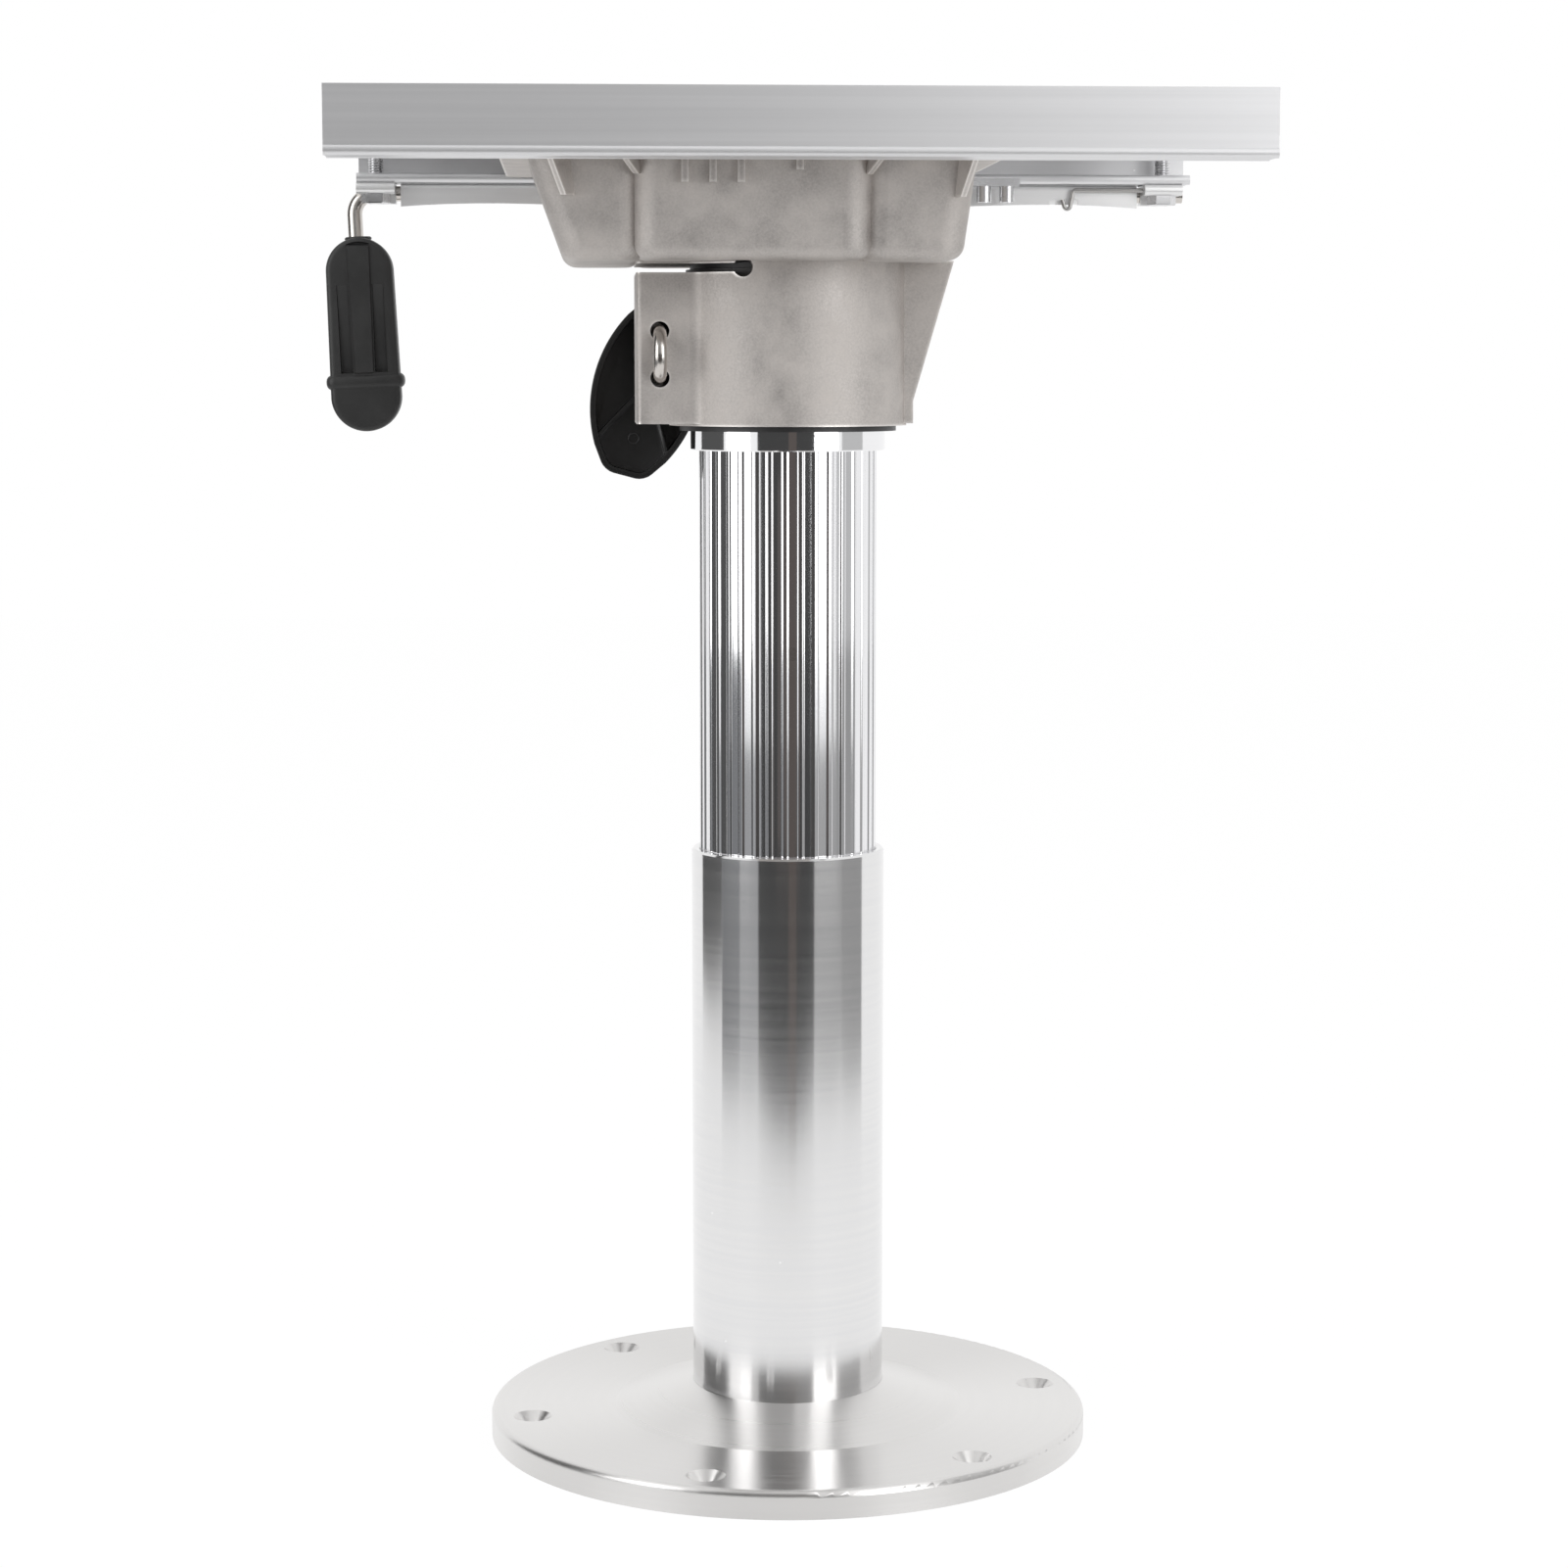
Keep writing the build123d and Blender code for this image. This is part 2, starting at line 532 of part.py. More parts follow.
def gas_cylinder():
    """Pressure tube of the gas spring, closed at its head and with a guide for the rod below."""
    bore = GAS_CYLINDER_RADIUS - GAS_CYLINDER_WALL
    shoulder = GAS_CYLINDER_RADIUS - GAS_CYLINDER_CHAMFER
    chamber_low = GAS_CYLINDER_BOTTOM + GAS_END_THICKNESS
    chamber_high = GAS_CYLINDER_TOP - GAS_END_THICKNESS
    rod_hole = GAS_ROD_RADIUS + RUNNING_GAP
    pin_hole = RELEASE_PIN_RADIUS + RUNNING_GAP
    return turned([
        (rod_hole, GAS_CYLINDER_BOTTOM),
        (shoulder, GAS_CYLINDER_BOTTOM),
        (GAS_CYLINDER_RADIUS, GAS_CYLINDER_BOTTOM + GAS_CYLINDER_CHAMFER),
        (GAS_CYLINDER_RADIUS, GAS_CYLINDER_TOP - GAS_CYLINDER_CHAMFER),
        (shoulder, GAS_CYLINDER_TOP),
        (pin_hole, GAS_CYLINDER_TOP),
        (pin_hole, chamber_high),
        (bore, chamber_high),
        (bore, chamber_low),
        (rod_hole, chamber_low),
    ])


def gas_rod():
    """Piston rod that stands on the deck plate, with its piston inside the cylinder."""
    piston_top = PISTON_BOTTOM + PISTON_LENGTH
    piston_radius = GAS_CYLINDER_RADIUS - GAS_CYLINDER_WALL - RUNNING_GAP
    return rod(GAS_ROD_RADIUS, SOCKET_FLOOR, piston_top) + rod(piston_radius, PISTON_BOTTOM, piston_top)


def gas_rod_nut():
    """Nut that fixes the piston rod's foot to the deck plate."""
    top = SOCKET_FLOOR + ROD_NUT_HEIGHT
    bore = rod(GAS_ROD_RADIUS + SEAT_GAP, SOCKET_FLOOR - CUT, top + CUT)
    return hexagon(ROD_NUT_FLATS, SOCKET_FLOOR, top) - bore


def release_pin():
    """Valve pin of the gas spring, which stands proud of the cap and is pressed to change height."""
    return rod(RELEASE_PIN_RADIUS, GAS_CYLINDER_TOP - GAS_END_THICKNESS, CAP_NECK_TOP + RELEASE_PIN_PROUD)


def swivel_bush():
    """Nylon bush between the sleeve and the clamped collar, with a flange under the collar."""
    flange_radius = BUSH_RADIUS + BUSH_FLANGE_WIDTH
    flange_top = COLLAR_BOTTOM - BUSH_FLANGE_GAP
    flange_bottom = flange_top - BUSH_FLANGE_THICKNESS
    return turned([
        (BUSH_BORE, flange_bottom),
        (flange_radius, flange_bottom),
        (flange_radius, flange_top),
        (BUSH_RADIUS, flange_top),
        (BUSH_RADIUS, POST_TOP),
        (BUSH_BORE, POST_TOP),
    ])


def thrust_washer():
    """Nylon washer between the head of the post and the floor of the bracket."""
    return ring(BUSH_BORE, CAP_HOLE_RADIUS, PAN_FLOOR_BOTTOM - THRUST_WASHER_THICKNESS, PAN_FLOOR_BOTTOM)


# Cast seat bracket


def pillow(low_span, high_span, low_half, high_half, low, high, corner, bottom_round):
    """Drafted block between two heights, with its sloping edges and perhaps its bottom rounded."""
    faces = []
    for (x0, x1), half, z in ((low_span, low_half, low), (high_span, high_half, high)):
        faces.append(Pos((x0 + x1) / 2, 0, z) * Rectangle(x1 - x0, 2 * half))
    body = loft(faces)
    sloping = body.edges().filter_by(lambda e: abs(e.tangent_at(0).Z) > 0.5)
    body = fillet(sloping, corner)
    return fillet(body.faces().sort_by(Axis.Z)[0].edges(), bottom_round) if bottom_round else body


def pan_pillows(inset, lap, low, corner, bottom_round=0.0):
    """Three joined pillows of the pan, drawn in by a wall's thickness for its hollows."""
    high = PAN_RIM + CUT if inset else PAN_RIM
    front = PAN_FRONT_X + inset
    front_end = PAN_FRONT_WAIST_X + lap
    middle = (PAN_FRONT_WAIST_X - PAN_LAP + inset, PAN_REAR_WAIST_X + PAN_LAP - inset)
    rear = PAN_REAR_X - inset
    rear_end = PAN_REAR_WAIST_X - lap
    spans = (
        ((front, front_end), (front - PAN_FRONT_DRAFT, front_end), PAN_FRONT_PINCH),
        (middle, middle, 0),
        ((rear_end, rear), (rear_end, rear + PAN_REAR_DRAFT), PAN_REAR_PINCH),
    )
    parts = []
    for low_span, high_span, pinch in spans:
        half = PAN_HALF_WIDTH - pinch - inset
        wide = half + PAN_SIDE_DRAFT
        parts.append(pillow(low_span, high_span, half, wide, low, high, corner, bottom_round))
    return Part() + parts


def pan_mouth():
    """Opening in the top of the pan."""
    front = PAN_FRONT_X - PAN_FRONT_DRAFT + MOUTH_MARGIN
    rear = PAN_REAR_X + PAN_REAR_DRAFT - MOUTH_MARGIN
    half = PAN_HALF_WIDTH - PAN_REAR_PINCH
    mouth = block((front, rear), (-half, half), (PAN_RIM - CUT / 2, FLANGE_TOP + CUT))
    return fillet(mouth.edges().filter_by(Axis.Z), PAN_CORNER)


def rib_under_flange(root_x, tip_x, drop, width, tip_drop):
    """Upright rib from the pan's near wall out under the flange, with its free edge sloping in."""
    root_y = PAN_HALF_WIDTH + PAN_SIDE_DRAFT / 2
    tip_y = PAN_HALF_WIDTH + PAN_SIDE_DRAFT + (PAN_RIB_PROUD if tip_drop == drop else PAN_WEB_REACH)
    run = ((tip_x - root_x) ** 2 + (tip_y - root_y) ** 2) ** 0.5
    inner = -PAN_WALL * 1.5
    outline = make_face(Polyline(
        (inner, PAN_RIM + CUT),
        (run, PAN_RIM + CUT),
        (run, PAN_RIM - tip_drop),
        (0, PAN_RIM - drop),
        (inner, PAN_RIM - drop),
        close=True))
    along = Vector(tip_x - root_x, root_y - tip_y, 0)
    plane = Plane(origin=(root_x, -root_y, 0), x_dir=along, z_dir=Vector(along.Y, -along.X, 0))
    return extrude(plane * outline, width / 2, both=True)


def flange_ribs():
    """Short ribs and slanting webs under the flanges; the comb takes their place on the far side."""
    near = [rib_under_flange(x, x, drop, PAN_RIB_WIDTH, drop) for x, drop in PAN_RIBS]
    near += [rib_under_flange(root, tip, drop, PAN_WEB_THICKNESS, CUT) for root, tip, drop in PAN_WEBS]
    far = [mirror(rib, Plane.XZ) for rib in near if rib.bounding_box().max.X < COMB_FRONT_X - PAN_WALL]
    return near + far


def stem():
    """Collar of the bracket with its two ears in front and its gusset behind."""
    high = PAN_FLOOR_BOTTOM + CUT
    ear_low = COLLAR_BOTTOM + EAR_STEP
    ears = block((EAR_FRONT, 0), (-EAR_HALF_WIDTH, EAR_HALF_WIDTH), (ear_low, high))
    ears = fillet(ears.edges().filter_by(Axis.Z).group_by(Axis.X)[0], EAR_CORNER)
    body = rod(COLLAR_RADIUS, COLLAR_BOTTOM, high) + ears
    junction = body.edges().filter_by(Axis.Z).filter_by_position(Axis.X, EAR_FRONT / 1.5, 0)
    body = fillet(junction.filter_by(lambda e: abs(abs(e.center().Y) - EAR_HALF_WIDTH) < SEAT_GAP), EAR_BLEND)
    foot = COLLAR_RADIUS + GUSSET_FOOT_REACH
    gusset = make_face(Polyline(
        (0, 0, COLLAR_BOTTOM + EAR_STEP),
        (foot, 0, COLLAR_BOTTOM + EAR_STEP),
        (foot, 0, COLLAR_BOTTOM + GUSSET_FOOT_HEIGHT),
        (PAN_REAR_X + GUSSET_HEAD_REACH, 0, high),
        (0, 0, high),
        close=True))
    return body + extrude(gusset, GUSSET_HALF_WIDTH, dir=(0, 1, 0), both=True)


def flange():
    """Top flange of the pan with the side wall that carries the glides along each edge."""
    plate = block((BRACKET_FRONT, BRACKET_REAR), (-SIDE_WALL_REACH, SIDE_WALL_REACH), (PAN_RIM, FLANGE_TOP))
    plate = fillet(plate.edges().filter_by(Axis.Z), FLANGE_CORNER)
    wall = block((BRACKET_FRONT + SIDE_WALL_SETBACK, BRACKET_REAR - SIDE_WALL_SETBACK),
                 (SIDE_WALL_INNER, SIDE_WALL_REACH), (PAN_RIM + CUT, SIDE_WALL_TOP))
    return Part() + [plate, *both_sides(wall)]


def seat_bracket():
    """Cast bracket: clamped collar with split ears, a pillowed pan, side walls and a rear gusset."""
    pan = pan_pillows(0, PAN_LAP, PAN_FLOOR_BOTTOM, PAN_CORNER, PAN_BOTTOM_ROUND)
    body = stem() + pan + flange_ribs() + flange()
    body -= pan_pillows(PAN_WALL, PAN_HOLLOW_LAP, PAN_FLOOR_TOP, PAN_HOLLOW_CORNER)
    body -= pan_mouth()
    body -= rod(COLLAR_BORE, COLLAR_BOTTOM - CUT, PAN_FLOOR_BOTTOM)
    body -= rod(CAP_HOLE_RADIUS, PAN_FLOOR_BOTTOM - CUT, PAN_FLOOR_TOP + CUT)
    body -= saw_cuts()
    body -= clamp_holes()
    body -= glide_screw_shanks(SEAT_GAP)
    return body - comb_screw_shanks(SEAT_GAP)


def saw_cuts():
    """Level saw slot over the ears, its round eye, and the upright split between the ears."""
    slot_top = PAN_FLOOR_BOTTOM - SLOT_WEB
    slot_bottom = slot_top - SLOT_HEIGHT
    reach = COLLAR_RADIUS + EAR_BLEND
    slot = block((EAR_FRONT - CUT, SLOT_END), (-reach, reach), (slot_bottom, slot_top))
    eye = rod_y(SLOT_EYE_RADIUS, -reach, reach, SLOT_END, (slot_bottom + slot_top) / 2)
    split = block((EAR_FRONT - CUT, -COLLAR_BORE + CUT), (-EAR_SPLIT / 2, EAR_SPLIT / 2),
                  (COLLAR_BOTTOM - CUT, slot_top - CUT))
    return slot + eye + split


def clamp_holes():
    """Holes through both ears for the legs of the clamp rod."""
    reach = EAR_HALF_WIDTH + CUT
    return Part() + [rod_y(CLAMP_HOLE_RADIUS, -reach, reach, CLAMP_X, z) for z in CLAMP_LEG_HEIGHTS]


# Swivel clamp


def u_rod():
    """Bent rod through both ears, with its bend at the near side and its ends in the bar."""
    radius = CLAMP_LEG_SPACING / 2
    bend_y = -EAR_HALF_WIDTH - CLAMP_BEND_PROUD + radius
    end_y = CLAMP_NUT_Y + CLAMP_NUT_HEIGHT + CLAMP_ROD_TAIL
    legs = [rod_y(CLAMP_ROD_RADIUS, bend_y, end_y, CLAMP_X, z) for z in CLAMP_LEG_HEIGHTS]
    section = Pos(CLAMP_X, bend_y, CLAMP_Z + radius) * Rot(90, 0, 0) * Circle(CLAMP_ROD_RADIUS)
    bend = revolve(section, Axis((CLAMP_X, bend_y, CLAMP_Z), (1, 0, 0)), 180)
    return Part() + legs + bend


def clamp_bar():
    """Bar across the ends of the clamp rod, tapped for the clamp screw."""
    low, high = CLAMP_LEG_HEIGHTS
    half = CLAMP_BAR_WIDTH / 2
    body = block((CLAMP_X - half, CLAMP_X + half), (CLAMP_BAR_Y, CLAMP_NUT_Y), (low - half, high + half))
    body = fillet(body.edges().filter_by(Axis.Y), CLAMP_BAR_CORNER)
    sizes = [(z, CLAMP_ROD_RADIUS + SEAT_GAP) for z in CLAMP_LEG_HEIGHTS]
    sizes.append((CLAMP_Z, CLAMP_SCREW_RADIUS + RUNNING_GAP))
    return body - [rod_y(radius, CLAMP_BAR_Y - CUT, CLAMP_NUT_Y + CUT, CLAMP_X, z) for z, radius in sizes]


def clamp_rod_nuts():
    """Two nuts on the ends of the clamp rod."""
    nut = hexagon(CLAMP_NUT_FLATS, 0, CLAMP_NUT_HEIGHT)
    nut -= rod(CLAMP_ROD_RADIUS + SEAT_GAP, -CUT, CLAMP_NUT_HEIGHT + CUT)
    return [Pos(CLAMP_X, CLAMP_NUT_Y, z) * Rot(-90, 0, 0) * nut for z in CLAMP_LEG_HEIGHTS]


def clamp_pad():
    """Steel pad on the far ear that the clamp screw bears on."""
    return rod_y(CLAMP_PAD_RADIUS, EAR_HALF_WIDTH, EAR_HALF_WIDTH + CLAMP_PAD_THICKNESS, CLAMP_X, CLAMP_Z)


def clamp_screw():
    """Screw that the handle turns in the bar, with its tip at the pad."""
    tip = EAR_HALF_WIDTH + CLAMP_PAD_THICKNESS + CLAMP_SCREW_GAP
    end = HANDLE_Y + HANDLE_DEPTH - HANDLE_BORE_END
    return rod_y(CLAMP_SCREW_RADIUS, tip, end, CLAMP_X, CLAMP_Z)


def handle_outline(inset):
    """Leaf outline of the handle: two arcs cut off square at both ends."""
    half = HANDLE_HALF_LENGTH
    wide = HANDLE_HALF_WIDTH
    end = HANDLE_END_HALF_WIDTH
    face = make_face([
        ThreePointArc((-half, end), (0, wide), (half, end)),
        Line((half, end), (half, -end)),
        ThreePointArc((half, -end), (0, -wide), (-half, -end)),
        Line((-half, -end), (-half, end)),
    ])
    face = fillet(face.vertices(), HANDLE_CORNER)
    return offset(face, -inset) if inset else face


def handle_place():
    """Plane of the handle's open face, with its length turned down and leaned forward."""
    lean = radians(HANDLE_LEAN)
    down = (-sin(lean), 0, -cos(lean))
    return Plane((CLAMP_X, HANDLE_Y, CLAMP_Z), x_dir=down, z_dir=(0, 1, 0))


def handle_ribs():
    """Hub, spokes and cross rib inside the handle."""
    low = HANDLE_RIB_SETBACK
    high = HANDLE_DEPTH - HANDLE_WALL / 2
    half = HANDLE_RIB / 2
    reach = 2 * HANDLE_HALF_LENGTH
    spoke = block((0, reach), (-half, half), (low, high))
    cross = block((HANDLE_CROSS_RIB_X - half, HANDLE_CROSS_RIB_X + half),
                  (-HANDLE_HALF_WIDTH, HANDLE_HALF_WIDTH), (low, high))
    spokes = [Rot(0, 0, angle) * spoke for angle in HANDLE_RIB_ANGLES]
    return Part() + [rod(HANDLE_HUB_RADIUS, low / 2, high), cross, *spokes]


def clamp_handle():
    """Moulded leaf handle: a shell open to the ear, with a hub and stiffening ribs."""
    centre = Pos(HANDLE_PIVOT_OFFSET, 0, 0)
    shell = centre * extrude(handle_outline(0), HANDLE_DEPTH)
    shell = chamfer(shell.edges().group_by(Axis.Z)[-1], HANDLE_ROUND)
    shell -= centre * extrude(handle_outline(HANDLE_WALL), HANDLE_DEPTH - HANDLE_WALL)
    body = shell + (handle_ribs() & centre * extrude(handle_outline(HANDLE_WALL / 2), HANDLE_DEPTH))
    return handle_place() * (body - rod(CLAMP_SCREW_RADIUS + SEAT_GAP, -CUT, HANDLE_DEPTH - HANDLE_BORE_END))


# Seat slide


def rail_outline():
    """Channel section of a rail in Y and Z, open inwards, with round beads along its foot."""
    bead = RAIL_FOOT / 2
    foot_low = RAIL_BOTTOM + RAIL_FOOT_STEP
    foot_high = CHANNEL_BOTTOM - RAIL_FOOT_STEP
    channel = make_face(Polyline(
        (RAIL_TOP_INNER, RAIL_TOP),
        (RAIL_REACH, RAIL_TOP),
        (RAIL_REACH, RAIL_BOTTOM + bead),
        (RAIL_REACH - bead, foot_low),
        (RAIL_LIP + bead, foot_low),
        (RAIL_LIP + bead, foot_high),
        (CHANNEL_BACK, foot_high),
        (CHANNEL_BACK, CHANNEL_TOP),
        (RAIL_TOP_INNER, CHANNEL_TOP),
        close=True))
    outer_bead = Pos(RAIL_REACH + RAIL_BEAD_PROUD - bead, RAIL_BOTTOM + bead) * Circle(bead)
    lip_bead = Pos(RAIL_LIP + bead, RAIL_BOTTOM + bead) * Circle(bead)
    return channel + outer_bead + lip_bead


def rail(side):
    """One extruded rail with seat-bolt slots, strap-screw holes and, on the far side, bolt holes."""
    section = Plane((-RAIL_HALF, 0, 0), x_dir=(0, 1, 0), z_dir=(1, 0, 0)) * rail_outline()
    body = extrude(section, RAIL_LENGTH)
    slot = extrude(SlotOverall(SEAT_SLOT_LENGTH, SEAT_SLOT_WIDTH), RAIL_WALL + 2 * CUT)
    for x in (-SEAT_SLOT_X, SEAT_SLOT_X):
        body -= Pos(x, SEAT_SLOT_SPACING_Y / 2, CHANNEL_TOP - CUT) * slot
    body -= [Pos(x, y, 0) * strap_screw(SEAT_GAP) for x, y in strap_screw_places() if y > 0]
    if side < 0:
        return mirror(body, Plane.XZ)
    for x in (END_BOLT_FRONT_X, END_BOLT_REAR_X):
        body -= rod(END_BOLT_RADIUS + SEAT_GAP, RAIL_BOTTOM - CUT, RAIL_TOP + CUT, x, END_BOLT_Y)
    return body


def strap_screw_places():
    """Places of the countersunk screws that hold the straps, as X and Y."""
    inner = RAIL_TOP_INNER + STRAP_SCREW_EDGE
    outer = inner + STRAP_SCREW_PITCH
    return [(x, y) for x in (-STRAP_X, STRAP_X) for y in (-outer, -inner, inner, outer)]


def strap_screw(gap):
    """Countersunk screw on the Z axis, with its head flush in the rail, grown by a gap for its hole."""
    shank = STRAP_SCREW_RADIUS + gap
    head = STRAP_SCREW_HEAD_RADIUS + gap
    low = STRAP_BOTTOM - (CUT if gap else 0)
    return turned([
        (0, low),
        (shank, low),
        (shank, RAIL_TOP + shank - head),
        (head, RAIL_TOP),
        (0, RAIL_TOP),
    ])


def strap_screws():
    """Eight identical countersunk screws."""
    return [Pos(x, y, 0) * strap_screw(0) for x, y in strap_screw_places()]


def strap(x):
    """Flat tie strap under the top flanges of both rails."""
    half = STRAP_WIDTH / 2
    reach = SIDE_WALL_REACH - STRAP_SETBACK
    body = block((x - half, x + half), (-reach, reach), (STRAP_BOTTOM, CHANNEL_TOP))
    body = fillet(body.edges().filter_by(Axis.Z), STRAP_CORNER)
    places = [place for place in strap_screw_places() if abs(place[0] - x) < half]
    return body - [rod(STRAP_SCREW_RADIUS + SEAT_GAP, STRAP_BOTTOM - CUT, CHANNEL_TOP + CUT, *place)
                   for place in places]


def glide(x, side):
    """Nylon glide block in a rail, fastened to the side wall of the bracket."""
    half = GLIDE_LENGTH / 2
    body = block((x - half, x + half), (SIDE_WALL_REACH, SIDE_WALL_REACH + GLIDE_DEPTH),
                 (CHANNEL_BOTTOM + RUNNING_GAP, CHANNEL_TOP - RUNNING_GAP))
    body = fillet(body.edges().filter_by(Axis.Y), GLIDE_CORNER)
    body -= rod_y(GLIDE_SCREW_RADIUS + SEAT_GAP, SIDE_WALL_REACH - CUT,
                  SIDE_WALL_REACH + GLIDE_SCREW_REACH + CUT / 2, x, GLIDE_MIDDLE_Z)
    return body if side > 0 else mirror(body, Plane.XZ)


def glide_screw_shanks(gap):
    """Shanks of the four glide screws, grown by a gap for the holes in the bracket."""
    shanks = []
    for x in (GLIDE_FRONT_X, GLIDE_REAR_X):
        shanks += both_sides(rod_y(GLIDE_SCREW_RADIUS + gap, SIDE_WALL_INNER - CUT,
                                   SIDE_WALL_REACH + GLIDE_SCREW_REACH, x, GLIDE_MIDDLE_Z))
    return shanks


def glide_screws():
    """Four identical hexagon screws that hold the glides."""
    head = hexagon(GLIDE_SCREW_HEAD_FLATS, 0, GLIDE_SCREW_HEAD_HEIGHT)
    screws = []
    for x in (GLIDE_FRONT_X, GLIDE_REAR_X):
        shank = rod_y(GLIDE_SCREW_RADIUS, SIDE_WALL_INNER - CUT, SIDE_WALL_REACH + GLIDE_SCREW_REACH,
                      x, GLIDE_MIDDLE_Z)
        screws += both_sides(shank + Pos(x, SIDE_WALL_INNER, GLIDE_MIDDLE_Z) * Rot(90, 0, 0) * head)
    return screws


# Slide lock


def comb_screw_shanks(gap):
    """Shanks of the comb screws, grown by a gap for their holes in the flange."""
    high = FLANGE_TOP - COMB_SCREW_INSET
    return [rod(COMB_SCREW_RADIUS + gap, PAN_RIM - CUT, high, x, LOCK_PIN_Y) for x in COMB_SCREW_XS]


def lock_comb():
    """Strip under the far flange with a row of pegs that the lock finger drops between."""
    low = PAN_RIM - COMB_THICKNESS
    half = COMB_WIDTH / 2
    rear = LOCK_PIN_LAST_X + LOCK_PIN_RADIUS + COMB_MARGIN
    body = block((COMB_FRONT_X, rear), (LOCK_PIN_Y - half, LOCK_PIN_Y + half), (low, PAN_RIM))
    pin_places = [LOCK_PIN_FIRST_X + k * LOCK_PIN_PITCH for k in range(LOCK_PIN_COUNT)]
    body += [rod(LOCK_PIN_RADIUS, LOCK_PIN_BOTTOM, low + CUT, x, LOCK_PIN_Y) for x in pin_places]
    return body - [rod(COMB_SCREW_RADIUS + SEAT_GAP, low - CUT, PAN_RIM + CUT, x, LOCK_PIN_Y)
                   for x in COMB_SCREW_XS]


def comb_screws():
    """Two identical screws that hold the comb to the flange."""
    low = PAN_RIM - COMB_THICKNESS
    screws = []
    for x in COMB_SCREW_XS:
        head = rod(COMB_SCREW_RADIUS + 2 * SEAT_GAP, low - COMB_SCREW_HEAD, low, x, LOCK_PIN_Y)
        screws.append(head + rod(COMB_SCREW_RADIUS, low, FLANGE_TOP - COMB_SCREW_INSET, x, LOCK_PIN_Y))
    return screws


def end_block(x):
    """Block under the far rail that the end bolt holds and the lock rod turns in."""
    half = END_BLOCK_LENGTH / 2
    barrel_radius = LOCK_ROD_RADIUS + END_BLOCK_BARREL_WALL
    barrel_y = LOCK_ROD_Y - barrel_radius
    barrel_low = LOCK_ROD_Z - barrel_radius
    plate = block((x - half, x + half), (END_BOLT_Y - END_BLOCK_HALF_WIDTH, barrel_y),
                  (RAIL_BOTTOM - END_BLOCK_THICKNESS, RAIL_BOTTOM))
    plate = fillet(plate.edges().filter_by(Axis.X).group_by(Axis.Y)[0], END_BLOCK_ROUND)
    inboard = sorted((x, x - half if x > 0 else x + half))
    body = plate + block(inboard, (barrel_y, LOCK_ROD_Y + barrel_radius), (barrel_low, RAIL_BOTTOM))
    body -= rod(END_BOLT_RADIUS + SEAT_GAP, barrel_low - CUT, RAIL_BOTTOM + CUT, x, END_BOLT_Y)
    return body - rod_x(LOCK_ROD_RADIUS + RUNNING_GAP, x - half - CUT, x + half + CUT, LOCK_ROD_Y, LOCK_ROD_Z)


def end_bolts():
    """Two identical long bolts: head under the end block, thread in the rail's top flange."""
    head_top = RAIL_BOTTOM - END_BLOCK_THICKNESS
    bolts = []
    for x in (END_BOLT_FRONT_X, END_BOLT_REAR_X):
        head = hexagon(END_BOLT_HEAD_FLATS, head_top - END_BOLT_HEAD_HEIGHT, head_top, x, END_BOLT_Y)
        bolts.append(head + rod(END_BOLT_RADIUS, head_top - CUT, RAIL_TOP - END_BOLT_TIP_GAP, x, END_BOLT_Y))
    return bolts


def leg_x(z):
    """Place along X of the rod's leaning leg at a height."""
    return LOCK_LEG_X + tan(radians(LOCK_LEG_LEAN)) * (LOCK_ROD_Z - z)


def lock_rod():
    """Bent rod: along the rail under its foot, then down into the hand grip."""
    path = FilletPolyline(
        (LOCK_ROD_REAR_X, LOCK_ROD_Y, LOCK_ROD_Z),
        (LOCK_LEG_X, LOCK_ROD_Y, LOCK_ROD_Z),
        (leg_x(GRIP_LEG_END), LOCK_ROD_Y, GRIP_LEG_END),
        radius=LOCK_ROD_BEND_RADIUS)
    return sweep(Plane(path @ 0, z_dir=path % 0) * Circle(LOCK_ROD_RADIUS), path)


def lock_bar():
    """Long bar on the rod, with a bead along its front and a waved lower edge."""
    span = (LOCK_BAR_FRONT_X, LOCK_BAR_REAR_X)
    barrel_radius = LOCK_ROD_RADIUS + LOCK_BAR_WALL
    face = LOCK_BAR_FACE_Y
    bead_z = LOCK_ROD_Z + barrel_radius - LOCK_BAR_BEAD
    body = rod_x(barrel_radius, *span, LOCK_ROD_Y, LOCK_ROD_Z)
    body += block(span, (face + LOCK_BAR_BEAD, LOCK_ROD_Y), (LOCK_ROD_Z, LOCK_ROD_Z + barrel_radius))
    body += rod_x(LOCK_BAR_BEAD, *span, face + LOCK_BAR_BEAD, bead_z)
    low = LOCK_ROD_Z - LOCK_BAR_DROP
    count = 2 * LOCK_BAR_WAVES
    step = (span[1] - span[0]) / count
    points = [(span[0] + step * k, face, low + LOCK_BAR_WAVE * (k % 2)) for k in range(count + 1)]
    sides = Polyline(points[-1], (span[1], face, bead_z), (span[0], face, bead_z), points[0])
    body += extrude(make_face([Spline(*points), sides]), LOCK_BAR_THICKNESS, dir=(0, 1, 0))
    back = face + LOCK_BAR_THICKNESS
    for x in (LOCK_BAR_HOLE_X, LOCK_BAR_HOLE_X - LOCK_BAR_HOLE_PITCH):
        body -= rod_y(LOCK_BAR_HOLE_RADIUS, face - CUT, back + CUT, x, LOCK_ROD_Z - LOCK_ROD_RADIUS)
    return body - rod_x(LOCK_ROD_RADIUS + SEAT_GAP, span[0] - CUT, span[1] + CUT, LOCK_ROD_Y, LOCK_ROD_Z)


